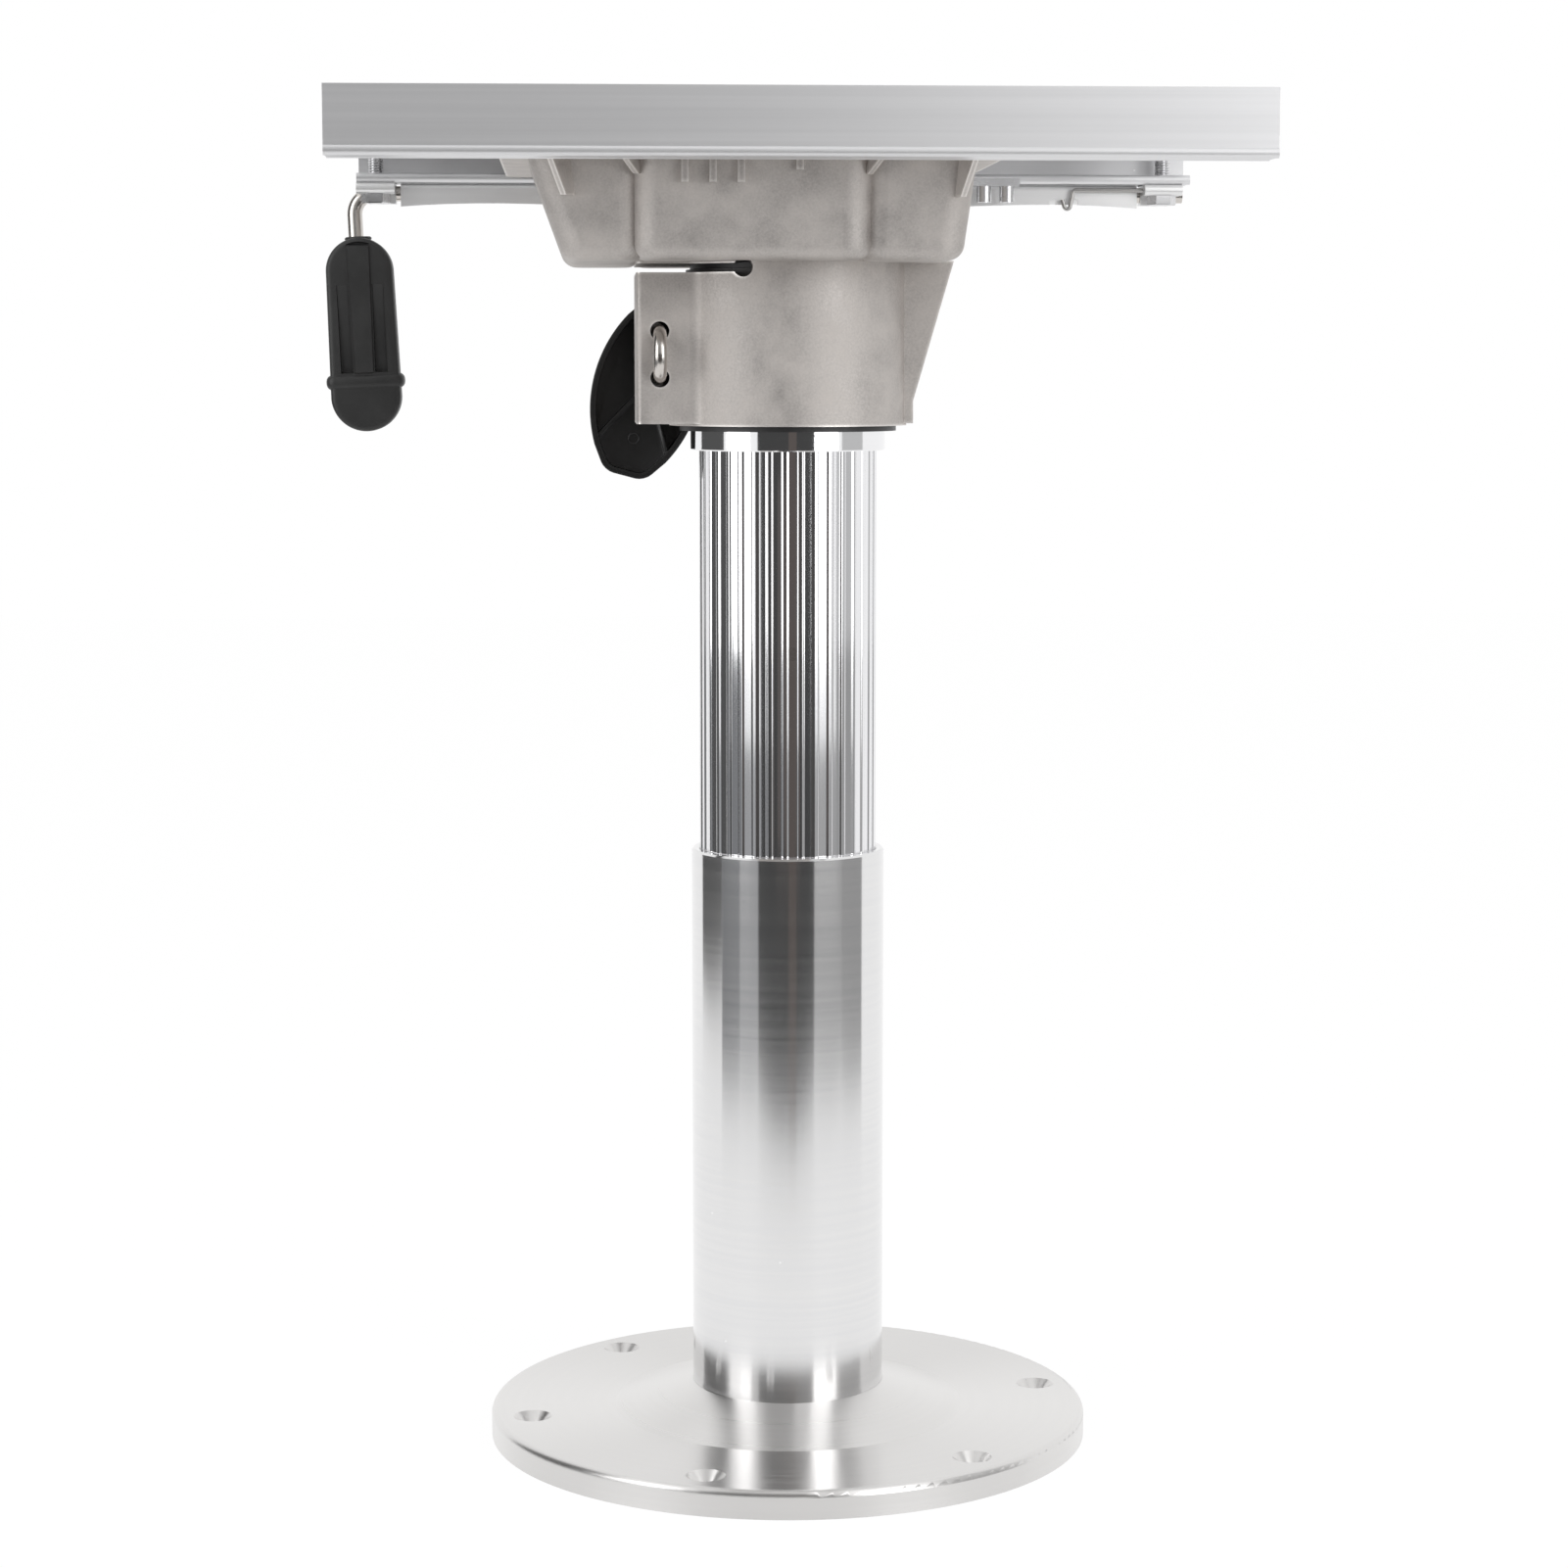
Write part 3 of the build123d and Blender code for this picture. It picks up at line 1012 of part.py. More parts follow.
def lock_finger():
    """Flat finger welded to the bar's face, whose narrow end catches between two pegs of the comb."""
    tip_half = LOCK_PIN_PITCH / 2 - LOCK_PIN_RADIUS - FINGER_SIDE_GAP
    tip = LOCK_PIN_Y - FINGER_BITE
    step = LOCK_PIN_Y + LOCK_PIN_RADIUS + CUT
    shoulder = step + FINGER_ROOT_HALF - tip_half
    outline = make_face(Polyline(
        (FINGER_X - tip_half, tip),
        (FINGER_X + tip_half, tip),
        (FINGER_X + tip_half, step),
        (FINGER_X + FINGER_ROOT_HALF, shoulder),
        (FINGER_X + FINGER_ROOT_HALF, LOCK_BAR_FACE_Y),
        (FINGER_X - FINGER_ROOT_HALF, LOCK_BAR_FACE_Y),
        (FINGER_X - FINGER_ROOT_HALF, shoulder),
        (FINGER_X - tip_half, step),
        close=True))
    return Pos(0, 0, FINGER_TOP - FINGER_THICKNESS) * extrude(outline, FINGER_THICKNESS)


def grip_panel():
    """Slim raised panel and the pocket either side of it, on one face of the grip at Z = 0."""
    pocket_length = GRIP_COLLAR_DROP - GRIP_POCKET_TOP
    panel_length = GRIP_COLLAR_DROP - GRIP_PANEL_TOP
    pocket_x = (GRIP_PANEL_HALF + GRIP_POCKET_HALF) / 2
    pocket_width = GRIP_POCKET_HALF - GRIP_PANEL_HALF
    pocket = Box(pocket_width, pocket_length, 2 * GRIP_POCKET_DEPTH)
    pockets = [Pos(x, -GRIP_POCKET_TOP - pocket_length / 2, 0) * pocket for x in (-pocket_x, pocket_x)]
    panel = Box(2 * GRIP_PANEL_HALF, panel_length, 2 * GRIP_PANEL_PROUD)
    return Pos(0, -GRIP_PANEL_TOP - panel_length / 2, 0) * panel, Part() + pockets


def lever_grip():
    """Moulded hand grip on the rod's leg: raised panel, side pockets, collar and round end."""
    head = Pos(0, -GRIP_HEAD_RADIUS) * Circle(GRIP_HEAD_RADIUS)
    tail = Pos(0, GRIP_TAIL_RADIUS - GRIP_LENGTH) * Circle(GRIP_TAIL_RADIUS)
    outline = make_hull(head.edges() + tail.edges())
    body = extrude(outline, GRIP_THICKNESS / 2, both=True)
    body = chamfer(body.edges().group_by(Axis.Z)[0] + body.edges().group_by(Axis.Z)[-1], GRIP_ROUND)
    collar = RectangleRounded(2 * (GRIP_TAIL_RADIUS + GRIP_COLLAR_PROUD), GRIP_THICKNESS + GRIP_COLLAR_PROUD,
                              GRIP_COLLAR_ROUND)
    panel, pockets = grip_panel()
    for turn in (0, 180):
        face = Rot(0, turn, 0) * Pos(0, 0, GRIP_THICKNESS / 2)
        body = body + face * panel - face * pockets
    body += Pos(0, -GRIP_COLLAR_DROP, 0) * Rot(90, 0, 0) * extrude(collar, GRIP_COLLAR_HEIGHT)
    lean = radians(LOCK_LEG_LEAN)
    place = Plane((leg_x(GRIP_TOP), LOCK_ROD_Y, GRIP_TOP), x_dir=(cos(lean), 0, sin(lean)), z_dir=(0, -1, 0))
    leg_plane = Plane((leg_x(GRIP_LEG_END), LOCK_ROD_Y, GRIP_LEG_END), z_dir=(-sin(lean), 0, cos(lean)))
    return place * body - leg_plane * rod(LOCK_ROD_RADIUS + SEAT_GAP, 0, 2 * GRIP_COLLAR_DROP)


def return_spring():
    """Wire spring from the rear end block along the bar, with its hooked end turned down."""
    y = LOCK_BAR_FACE_Y - SPRING_STAND_OFF
    z = RAIL_BOTTOM - END_BLOCK_THICKNESS / 2
    path = FilletPolyline(
        (END_BOLT_REAR_X - END_BLOCK_LENGTH / 2, y, z),
        (SPRING_HOOK_X, y, z),
        (SPRING_HOOK_X - SPRING_HOOK_WIDTH / 2, y, z - SPRING_HOOK_DROP),
        (SPRING_HOOK_X - SPRING_HOOK_WIDTH, y, z - SPRING_HOOK_DROP / 3),
        radius=SPRING_BEND)
    return sweep(Plane(path @ 0, z_dir=path % 0) * Circle(SPRING_WIRE_RADIUS), path)


NODES = {
    "base_plate": base_plate,
    "lower_tube": lower_tube,
    "gas_rod": gas_rod,
    "gas_rod_nut": gas_rod_nut,
    "ribbed_tube": ribbed_tube,
    "foot_bush": foot_bush,
    "top_sleeve": top_sleeve,
    "post_cap": post_cap,
    "retaining_ring": retaining_ring,
    "cross_pins": cross_pins,
    "mount_ring": mount_ring,
    "gas_cylinder": gas_cylinder,
    "release_pin": release_pin,
    "seat_bracket": seat_bracket,
    "swivel_bush": swivel_bush,
    "thrust_washer": thrust_washer,
    "glide_screws": glide_screws,
    "lock_comb": lock_comb,
    "comb_screws": comb_screws,
    "clamp_pad": clamp_pad,
    "u_rod": u_rod,
    "clamp_bar": clamp_bar,
    "clamp_rod_nuts": clamp_rod_nuts,
    "clamp_screw": clamp_screw,
    "clamp_handle": clamp_handle,
    "left_rail": lambda: rail(-1),
    "right_rail": lambda: rail(1),
    "front_strap": lambda: strap(-STRAP_X),
    "rear_strap": lambda: strap(STRAP_X),
    "strap_screws": strap_screws,
    "end_block_front": lambda: end_block(END_BOLT_FRONT_X),
    "end_block_rear": lambda: end_block(END_BOLT_REAR_X),
    "end_bolts": end_bolts,
    "lock_rod": lock_rod,
    "lock_bar": lock_bar,
    "lock_finger": lock_finger,
    "lever_grip": lever_grip,
    "return_spring": return_spring,
}

for place_name, place_x in (("front", GLIDE_FRONT_X), ("rear", GLIDE_REAR_X)):
    for side_name, side in (("left", -1), ("right", 1)):
        NODES[f"glide_{place_name}_{side_name}"] = lambda x=place_x, s=side: glide(x, s)

os.makedirs("parts", exist_ok=True)
for name, make in NODES.items():
    shape = make()
    if isinstance(shape, list):
        shape = Compound(children=shape)
    export_step(shape, f"parts/{name}.step")
    print(name, round(shape.volume), "mm3")
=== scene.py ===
# %% [markdown]
# # Dressing a boat seat pedestal
#
# The real thing is a round turned deck plate, a brushed outer tube, a polished ribbed inner
# tube, a cast seat bracket and an aluminium seat slide with a black hand grip. Its sizes and
# joints come ready made as a frame. This lesson gives every surface its finish, adds the
# small shapes that a plain model lacks, and builds the bright studio that polished metal
# needs, because such metal shows little else than what stands around it.

# %% Load the frame
import json
import math

import bpy
from mathutils import Matrix, Vector


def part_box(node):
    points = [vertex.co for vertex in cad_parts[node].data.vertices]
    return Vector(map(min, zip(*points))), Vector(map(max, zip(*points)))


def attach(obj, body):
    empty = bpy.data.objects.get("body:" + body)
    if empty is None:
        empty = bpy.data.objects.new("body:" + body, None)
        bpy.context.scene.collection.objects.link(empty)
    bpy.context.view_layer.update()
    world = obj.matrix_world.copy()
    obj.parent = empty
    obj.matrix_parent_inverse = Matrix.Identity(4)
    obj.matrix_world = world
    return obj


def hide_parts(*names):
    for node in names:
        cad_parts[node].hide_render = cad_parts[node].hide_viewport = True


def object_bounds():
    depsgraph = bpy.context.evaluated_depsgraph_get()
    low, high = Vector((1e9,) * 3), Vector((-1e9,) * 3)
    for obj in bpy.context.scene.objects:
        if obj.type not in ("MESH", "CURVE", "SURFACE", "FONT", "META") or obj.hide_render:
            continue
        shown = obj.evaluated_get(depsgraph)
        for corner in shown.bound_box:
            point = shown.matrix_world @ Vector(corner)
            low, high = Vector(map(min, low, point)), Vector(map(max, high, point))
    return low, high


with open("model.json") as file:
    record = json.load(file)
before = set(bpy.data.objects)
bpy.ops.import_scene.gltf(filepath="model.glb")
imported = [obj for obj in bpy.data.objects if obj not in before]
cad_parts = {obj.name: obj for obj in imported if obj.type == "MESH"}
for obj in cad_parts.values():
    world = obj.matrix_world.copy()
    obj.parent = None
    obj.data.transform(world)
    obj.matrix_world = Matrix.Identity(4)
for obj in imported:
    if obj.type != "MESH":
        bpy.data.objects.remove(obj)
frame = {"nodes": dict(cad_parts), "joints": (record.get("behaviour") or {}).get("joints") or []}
cad_low, cad_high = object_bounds()
scene = bpy.context.scene
nodes = frame["nodes"]
MM = 0.001
print("overall size in mm:", [round(v / MM, 1) for v in cad_high - cad_low])

# %% [markdown]
# ## The camera
#
# The photograph was taken with a long lens, a little above the middle of the post and tipped
# down by under seven degrees. The object stands turned by about three degrees. Instead of
# turning the object, the camera walks round it, so every piece keeps the place that the frame
# gives. The camera is made with an operator, as by hand, and its turn is worked out from the
# two angles. The lens is given in pixels of the photograph, which is 1601 pixels wide.

# %% Place the camera
VIEW_TURN = math.radians(3.3)
VIEW_PITCH = math.radians(6.71)
VIEW_AIM = math.radians(0.06)
VIEW_DISTANCE = 1.341
VIEW_HEIGHT = 0.4085
SENSOR_WIDTH = 36.0
FOCAL_PIXELS = 3628.0
PHOTO_WIDTH = 1601.0
CLIP_START = 0.05


def around(azimuth, distance, height):
    """Point at an azimuth round the post: 0 is at the camera, 90 at its right."""
    angle = math.radians(azimuth) - VIEW_TURN
    return Vector((distance * math.sin(angle), -distance * math.cos(angle), height))


bpy.ops.object.camera_add(location=around(0, VIEW_DISTANCE, VIEW_HEIGHT))
camera = bpy.context.object
camera.name = "photo_camera"
camera.rotation_euler = (math.radians(90) - VIEW_PITCH, 0, VIEW_AIM - VIEW_TURN)
camera.data.sensor_width = SENSOR_WIDTH
camera.data.lens = SENSOR_WIDTH * FOCAL_PIXELS / PHOTO_WIDTH
camera.data.clip_start = CLIP_START
scene.camera = camera
scene.view_settings.view_transform = "Standard"
print("lens:", round(camera.data.lens, 1), "mm, camera at", [round(v, 3) for v in camera.location])

# %% [markdown]
# ## Small helpers for materials
#
# Each finish is one material around one Principled shader. Effects that several finishes
# share, such as drawn lines or the mottle of a casting, are node groups with named sockets,
# so that each material places the same group with its own values. These helpers only save
# typing: they add a node, join two sockets, and blend two values or colours by a mask.

# %% Helpers for nodes
COLOUR_A, COLOUR_B, COLOUR_RESULT = 6, 7, 2    # a Mix node's colour sockets, by their order


def add(tree, kind, **values):
    """New node in a tree, with its input sockets or its own settings given by name."""
    node = tree.nodes.new(kind)
    for name, value in values.items():
        label = name.replace("_", " ").title()
        if label in node.inputs:
            node.inputs[label].default_value = value
        else:
            setattr(node, name, value)
    return node


def join(tree, output, target):
    """Link between two sockets."""
    tree.links.new(output, target)


def maths(tree, operation, first, second=0.0):
    """Math node on sockets or plain numbers, and its output."""
    node = tree.nodes.new("ShaderNodeMath")
    node.operation = operation
    for socket, value in zip(node.inputs, (first, second)):
        if isinstance(value, (int, float)):
            socket.default_value = value
        else:
            join(tree, value, socket)
    return node.outputs[0]


def map_range(tree, value, **limits):
    """Map Range node that clamps, on a socket, and its output."""
    node = add(tree, "ShaderNodeMapRange", clamp=True, **limits)
    join(tree, value, node.inputs["Value"])
    return node.outputs["Result"]


def blend_values(tree, mask, low, high):
    """Value that goes from low to high as the mask goes from 0 to 1."""
    return map_range(tree, mask, to_min=low, to_max=high)


def blend_colours(tree, mask, first, second):
    """Colour that goes from the first to the second as the mask goes from 0 to 1."""
    node = tree.nodes.new("ShaderNodeMix")
    node.data_type = "RGBA"
    join(tree, mask, node.inputs["Factor"])
    for socket, value in ((node.inputs[COLOUR_A], first), (node.inputs[COLOUR_B], second)):
        if isinstance(value, tuple):
            socket.default_value = (*value, 1.0)
        else:
            join(tree, value, socket)
    return node.outputs[COLOUR_RESULT]


print("node helpers ready")

# %% [markdown]
# ## Small helpers for groups
#
# A node group is a little material tree with a name, which can be placed many times. Every
# group here reads a position and puts out values, so the same two helpers build them all and
# place them in a material.

# %% Helpers for node groups


def new_group(name, inputs, outputs):
    """Empty node group: a Position socket, float sockets in and out, and its two ends."""
    tree = bpy.data.node_groups.new(name, "ShaderNodeTree")
    tree.interface.new_socket("Position", in_out="INPUT", socket_type="NodeSocketVector")
    for label, value in inputs.items():
        socket = tree.interface.new_socket(label, in_out="INPUT", socket_type="NodeSocketFloat")
        socket.default_value = value
    for label in outputs:
        tree.interface.new_socket(label, in_out="OUTPUT", socket_type="NodeSocketFloat")
    return tree, tree.nodes.new("NodeGroupInput"), tree.nodes.new("NodeGroupOutput")


def place_group(tree, group, position, **values):
    """A group placed in a material, reading the given position."""
    node = tree.nodes.new("ShaderNodeGroup")
    node.node_tree = group
    join(tree, position, node.inputs["Position"])
    for label, value in values.items():
        node.inputs[label.replace("_", " ").title()].default_value = value
    return node


print("group helpers ready")

# %% [markdown]
# ## Drawn lines
#
# Extruded, brushed and turned metal all carry fine lines in one direction. One group serves
# for all three: noise is read in a space that is squeezed across the lines and stretched along
# them. For a turned part the position is first changed to radius and height, so that the lines
# run round the axis. A plain wave would repeat too evenly, so noise of two widths is used.

# %% Build the group of drawn lines
PER_METRE = 1000.0       # divided by a size in millimetres, it gives the scale of a texture
WIDE_LINES = 0.13


def drawn_lines_group():
    """Noise stretched along X: fine lines as a height, and a slower mask for gloss and colour."""
    tree, start, end = new_group(
        "drawn_lines", {"Line Width": 0.4, "Stretch": 60.0}, ("Height", "Streak"))
    across = maths(tree, "DIVIDE", PER_METRE, start.outputs["Line Width"])
    along = maths(tree, "DIVIDE", across, start.outputs["Stretch"])
    scale = add(tree, "ShaderNodeCombineXYZ")
    join(tree, along, scale.inputs["X"])
    join(tree, across, scale.inputs["Y"])
    join(tree, across, scale.inputs["Z"])
    spread = add(tree, "ShaderNodeVectorMath", operation="MULTIPLY")
    join(tree, start.outputs["Position"], spread.inputs[0])
    join(tree, scale.outputs[0], spread.inputs[1])
    fine = add(tree, "ShaderNodeTexNoise", scale=1.0, detail=3.0, roughness=0.6)
    wide = add(tree, "ShaderNodeTexNoise", scale=WIDE_LINES, detail=2.0, roughness=0.5)
    for texture in (fine, wide):
        join(tree, spread.outputs[0], texture.inputs["Vector"])
    join(tree, fine.outputs["Fac"], end.inputs["Height"])
    join(tree, wide.outputs["Fac"], end.inputs["Streak"])
    return tree


DRAWN_LINES = drawn_lines_group()
print("group:", DRAWN_LINES.name)

# %% [markdown]
# ## Specks and dust
#
# Even a clean studio part carries a few bright nicks and specks. They are cells of a Voronoi
# texture: only cells whose random value passes a limit get a small dot in their middle.

# %% Build the group of specks


def specks_group():
    """Scattered round dots, 1 in the dot and 0 outside, with the share of cells that hold one."""
    tree, start, end = new_group(
        "specks", {"Spacing": 4.0, "Dot Size": 0.12, "Share": 0.25}, ("Mask",))
    scale = maths(tree, "DIVIDE", PER_METRE, start.outputs["Spacing"])
    cells = add(tree, "ShaderNodeTexVoronoi")
    join(tree, start.outputs["Position"], cells.inputs["Vector"])
    join(tree, scale, cells.inputs["Scale"])
    near = maths(tree, "LESS_THAN", cells.outputs["Distance"], start.outputs["Dot Size"])
    split = add(tree, "ShaderNodeSeparateColor")
    join(tree, cells.outputs["Color"], split.inputs[0])
    chosen = maths(tree, "LESS_THAN", split.outputs[0], start.outputs["Share"])
    join(tree, maths(tree, "MULTIPLY", near, chosen), end.inputs["Mask"])
    return tree


SPECKS = specks_group()
print("group:", SPECKS.name)

# %% [markdown]
# ## The skin of a casting
#
# A tumbled casting is grey and cloudy from afar and finely pitted from near. The group puts
# out a cloud mask, a grain mask and a height that mixes both. Noise seldom leaves the middle
# of its range, so the masks are stretched to run from 0 to 1.

# %% Build the group of the cast skin
NOISE_LOW, NOISE_HIGH = 0.3, 0.7
CLOUD_SHARE_OF_HEIGHT = 0.5


def cast_skin_group():
    """Clouds, fine grain and pits of a tumbled casting."""
    tree, start, end = new_group(
        "cast_skin", {"Cloud Size": 18.0, "Grain Size": 0.9}, ("Cloud", "Grain", "Height"))
    cloud = add(tree, "ShaderNodeTexNoise", detail=4.0, roughness=0.62)
    grain = add(tree, "ShaderNodeTexNoise", detail=3.0, roughness=0.7)
    for texture, label in ((cloud, "Cloud"), (grain, "Grain")):
        scale = maths(tree, "DIVIDE", PER_METRE, start.outputs[label + " Size"])
        join(tree, start.outputs["Position"], texture.inputs["Vector"])
        join(tree, scale, texture.inputs["Scale"])
        mask = map_range(tree, texture.outputs["Fac"], from_min=NOISE_LOW, from_max=NOISE_HIGH)
        join(tree, mask, end.inputs[label])
    slow = maths(tree, "MULTIPLY", cloud.outputs["Fac"], CLOUD_SHARE_OF_HEIGHT)
    join(tree, maths(tree, "ADD", slow, grain.outputs["Fac"]), end.inputs["Height"])
    return tree


CAST_SKIN = cast_skin_group()
print("group:", CAST_SKIN.name)

# %% [markdown]
# ## Worn edges and a painted edge highlight
#
# Tumbling polishes what stands out: ribs, rims and corners come out paler and glossier than the
# flat faces. Their paler colour is partly that real wear and partly a painted highlight, which
# stands in for the glints of light on the rounded edges. An Ambient Occlusion node that looks
# inwards finds such places, because from just under an outer edge the other face is near.

# %% Build the group of edge wear and painted highlight
EDGE_MASK_FROM, EDGE_MASK_FULL = 0.12, 0.6    # share of the rays that meet a near face


def edge_wear_and_highlight_group():
    """Mask that is 1 on outer edges and falls to 0 within a reach given in millimetres."""
    tree, start, end = new_group("edge_wear_and_highlight", {"Reach": 1.0}, ("Mask",))
    inside = add(tree, "ShaderNodeAmbientOcclusion", inside=True, only_local=True, samples=6)
    join(tree, maths(tree, "MULTIPLY", start.outputs["Reach"], MM), inside.inputs["Distance"])
    near = maths(tree, "SUBTRACT", 1.0, inside.outputs["AO"])
    join(tree, map_range(tree, near, from_min=EDGE_MASK_FROM, from_max=EDGE_MASK_FULL), end.inputs["Mask"])
    return tree


EDGE_WEAR_AND_HIGHLIGHT = edge_wear_and_highlight_group()
print("group:", EDGE_WEAR_AND_HIGHLIGHT.name)

# %% [markdown]
# ## The frame of a material
#
# Every finish starts the same way: a new material, Object coordinates, a Principled shader and
# a Bump node. Object coordinates are in metres and fixed to the piece, so a pattern keeps its
# true scale and travels with the part when a joint moves.

# %% Start a finish


def new_finish(name, metallic, roughness, bump_mm):
    """New material, and its tree, shader, bump node and object position."""
    material = bpy.data.materials.new(name)
    material.use_nodes = True
    tree = material.node_tree
    shader = tree.nodes["Principled BSDF"]
    shader.inputs["Metallic"].default_value = metallic
    shader.inputs["Roughness"].default_value = roughness
    bump = add(tree, "ShaderNodeBump")
    bump.inputs["Strength"].default_value = 1.0
    bump.inputs["Distance"].default_value = bump_mm * MM
    join(tree, bump.outputs["Normal"], shader.inputs["Normal"])
    position = add(tree, "ShaderNodeTexCoord").outputs["Object"]
    return material, tree, shader, bump, position


print("a finish can start")

# %% [markdown]
# ## Which way the lines run
#
# The group of drawn lines always draws along its X. To run the lines up the post, across the
# seat or round an axis, the position is changed before it reaches the group: its axes are put
# in another order, or it becomes an angle, a radius and a height.

# %% Turn the position for the lines
TURN_SCALE = 0.03        # metres per radian, as on a tube of 30 mm radius


def radius_and_height(tree, position):
    """Position as angle, radius and height about the Z axis, so that lines run round it."""
    parts = add(tree, "ShaderNodeSeparateXYZ")
    join(tree, position, parts.inputs[0])
    x, y, z = parts.outputs
    radius = maths(tree, "SQRT", maths(tree, "ADD", maths(tree, "MULTIPLY", x, x),
                                       maths(tree, "MULTIPLY", y, y)))
    angle = maths(tree, "MULTIPLY", maths(tree, "ARCTAN2", y, x), TURN_SCALE)
    joined = add(tree, "ShaderNodeCombineXYZ")
    for value, socket in zip((angle, radius, z), joined.inputs):
        join(tree, value, socket)
    return joined.outputs[0]


def swapped(tree, position, order):
    """Position with its axes in another order, so that lines along X run along another axis."""
    parts = add(tree, "ShaderNodeSeparateXYZ")
    join(tree, position, parts.inputs[0])
    joined = add(tree, "ShaderNodeCombineXYZ")
    for index, socket in zip(order, joined.inputs):
        join(tree, parts.outputs[index], socket)
    return joined.outputs[0]


def along_z(tree, position):
    """Lines that run up the post."""
    return swapped(tree, position, (2, 0, 1))


def along_y(tree, position):
    """Lines that run across the seat."""
    return swapped(tree, position, (1, 0, 2))


print("lines can run four ways")

# %% [markdown]
# ## Metal with lines
#
# Fine lines smear a reflection across themselves. The Principled shader does this with its
# Anisotropic value, and needs to know the direction: it lies in the surface and across the
# lines, which a cross product of the surface's normal and the lines' direction gives. The
# lines themselves change the colour, the gloss and the bump a little.

# %% Make a lined metal
RAIL_LINES = (1.0, 0.02, 0.02)     # along X, and a little off it for the sawn ends
SPECK_SPACING = 5.0
SPECK_SIZE = 0.07
SPECK_WHITE = (0.95, 0.95, 0.95)


def across_lines(tree, position, turn):
    """Direction in which a reflection smears: along the surface and across its lines."""
    crossed = add(tree, "ShaderNodeVectorMath", operation="CROSS_PRODUCT")
    join(tree, add(tree, "ShaderNodeNewGeometry").outputs["Normal"], crossed.inputs[0])
    if turn is radius_and_height:
        round_axis = add(tree, "ShaderNodeVectorMath", operation="CROSS_PRODUCT")
        round_axis.inputs[0].default_value = (0.0, 0.0, 1.0)
        join(tree, position, round_axis.inputs[1])
        join(tree, round_axis.outputs[0], crossed.inputs[1])
    else:
        crossed.inputs[1].default_value = RAIL_LINES
    return crossed.outputs[0]


def lined_metal(name, dark, light, gloss, line_width, stretch, bump_mm, turn=None, specks=0.0,
                spread=0.0, metallic=1.0):
    """Metal with fine lines: colours from dark to light, and gloss as a pair of roughnesses."""
    material, tree, shader, bump, position = new_finish(name, metallic, gloss[0], bump_mm)
    if spread:
        shader.inputs["Anisotropic"].default_value = spread
        join(tree, across_lines(tree, position, turn), shader.inputs["Tangent"])
    place = turn(tree, position) if turn else position
    lines = place_group(tree, DRAWN_LINES, place, line_width=line_width, stretch=stretch)
    colour = blend_colours(tree, lines.outputs["Streak"], dark, light)
    rough = blend_values(tree, lines.outputs["Streak"], gloss[0], gloss[1])
    if specks:
        dots = place_group(tree, SPECKS, position, spacing=SPECK_SPACING, dot_size=SPECK_SIZE,
                           share=specks)
        colour = blend_colours(tree, dots.outputs["Mask"], colour, SPECK_WHITE)
    join(tree, colour, shader.inputs["Base Color"])
    join(tree, rough, shader.inputs["Roughness"])
    join(tree, lines.outputs["Height"], bump.inputs["Height"])
    return material


print("lined metals can be made")

# %% [markdown]
# ## The metals of the post
#
# The deck plate and the sleeve are turned, so their lines run round. The outer tube is
# brushed round as well, and a little duller. The inner tube is extruded and polished, so its
# lines run along it. Ground steel is for the gas spring's rod and the pins.

# %% Make the metals of the post
PLATE = lined_metal("turned_plate", (0.71, 0.7, 0.69), (0.76, 0.75, 0.74), (0.24, 0.36),
                    0.35, 200, 0.0006, radius_and_height, spread=0.8)
TUBE = lined_metal("brushed_tube", (0.74, 0.74, 0.75), (0.82, 0.815, 0.81), (0.1, 0.15),
                   0.25, 60, 0.0022, radius_and_height, specks=0.03, spread=0.8)
RIBBED = lined_metal("polished_ribs", (0.8, 0.8, 0.82), (0.86, 0.86, 0.87), (0.07, 0.12),
                     0.3, 120, 0.001, along_z)
SLEEVE = lined_metal("polished_sleeve", (0.84, 0.84, 0.85), (0.88, 0.88, 0.89), (0.05, 0.08),
                     0.3, 80, 0.0008, radius_and_height)
GROUND = lined_metal("ground_steel", (0.66, 0.66, 0.66), (0.74, 0.74, 0.74), (0.12, 0.2),
                     0.2, 50, 0.001, radius_and_height)
print("metals of the post:", [metal.name for metal in (PLATE, TUBE, RIBBED, SLEEVE, GROUND)])

# %% [markdown]
# ## The metals of the slide and the clamp
#
# The rails are satin aluminium: wide soft reflections with a grain along them. Blocks and
# straps are machined, the rods are drawn steel, small fasteners are zinc plated, and the
# spring wire is darker. Less than full Metallic gives the satin ones a pale body of their own.

# %% Make the metals of the slide
RAIL = lined_metal("satin_rail", (0.72, 0.72, 0.73), (0.82, 0.82, 0.83), (0.36, 0.46),
                   0.22, 150, 0.004, specks=0.04, spread=0.5, metallic=0.78)
BLOCK = lined_metal("machined_block", (0.82, 0.82, 0.82), (0.9, 0.9, 0.9), (0.3, 0.42),
                    0.25, 40, 0.003, metallic=0.6)
STRAP = lined_metal("machined_strap", (0.66, 0.66, 0.67), (0.75, 0.75, 0.75), (0.28, 0.4),
                    0.25, 60, 0.003, along_y)
ROD = lined_metal("drawn_rod", (0.56, 0.53, 0.5), (0.66, 0.63, 0.6), (0.16, 0.26),
                  0.3, 60, 0.0015)
ZINC = lined_metal("zinc_plate", (0.62, 0.62, 0.63), (0.76, 0.76, 0.77), (0.2, 0.34),
                   0.5, 4, 0.003)
SPRING = lined_metal("spring_wire", (0.36, 0.35, 0.34), (0.5, 0.49, 0.48), (0.22, 0.34),
                     0.2, 30, 0.0015)
print("metals of the slide:", [metal.name for metal in (RAIL, BLOCK, STRAP, ROD, ZINC, SPRING)])
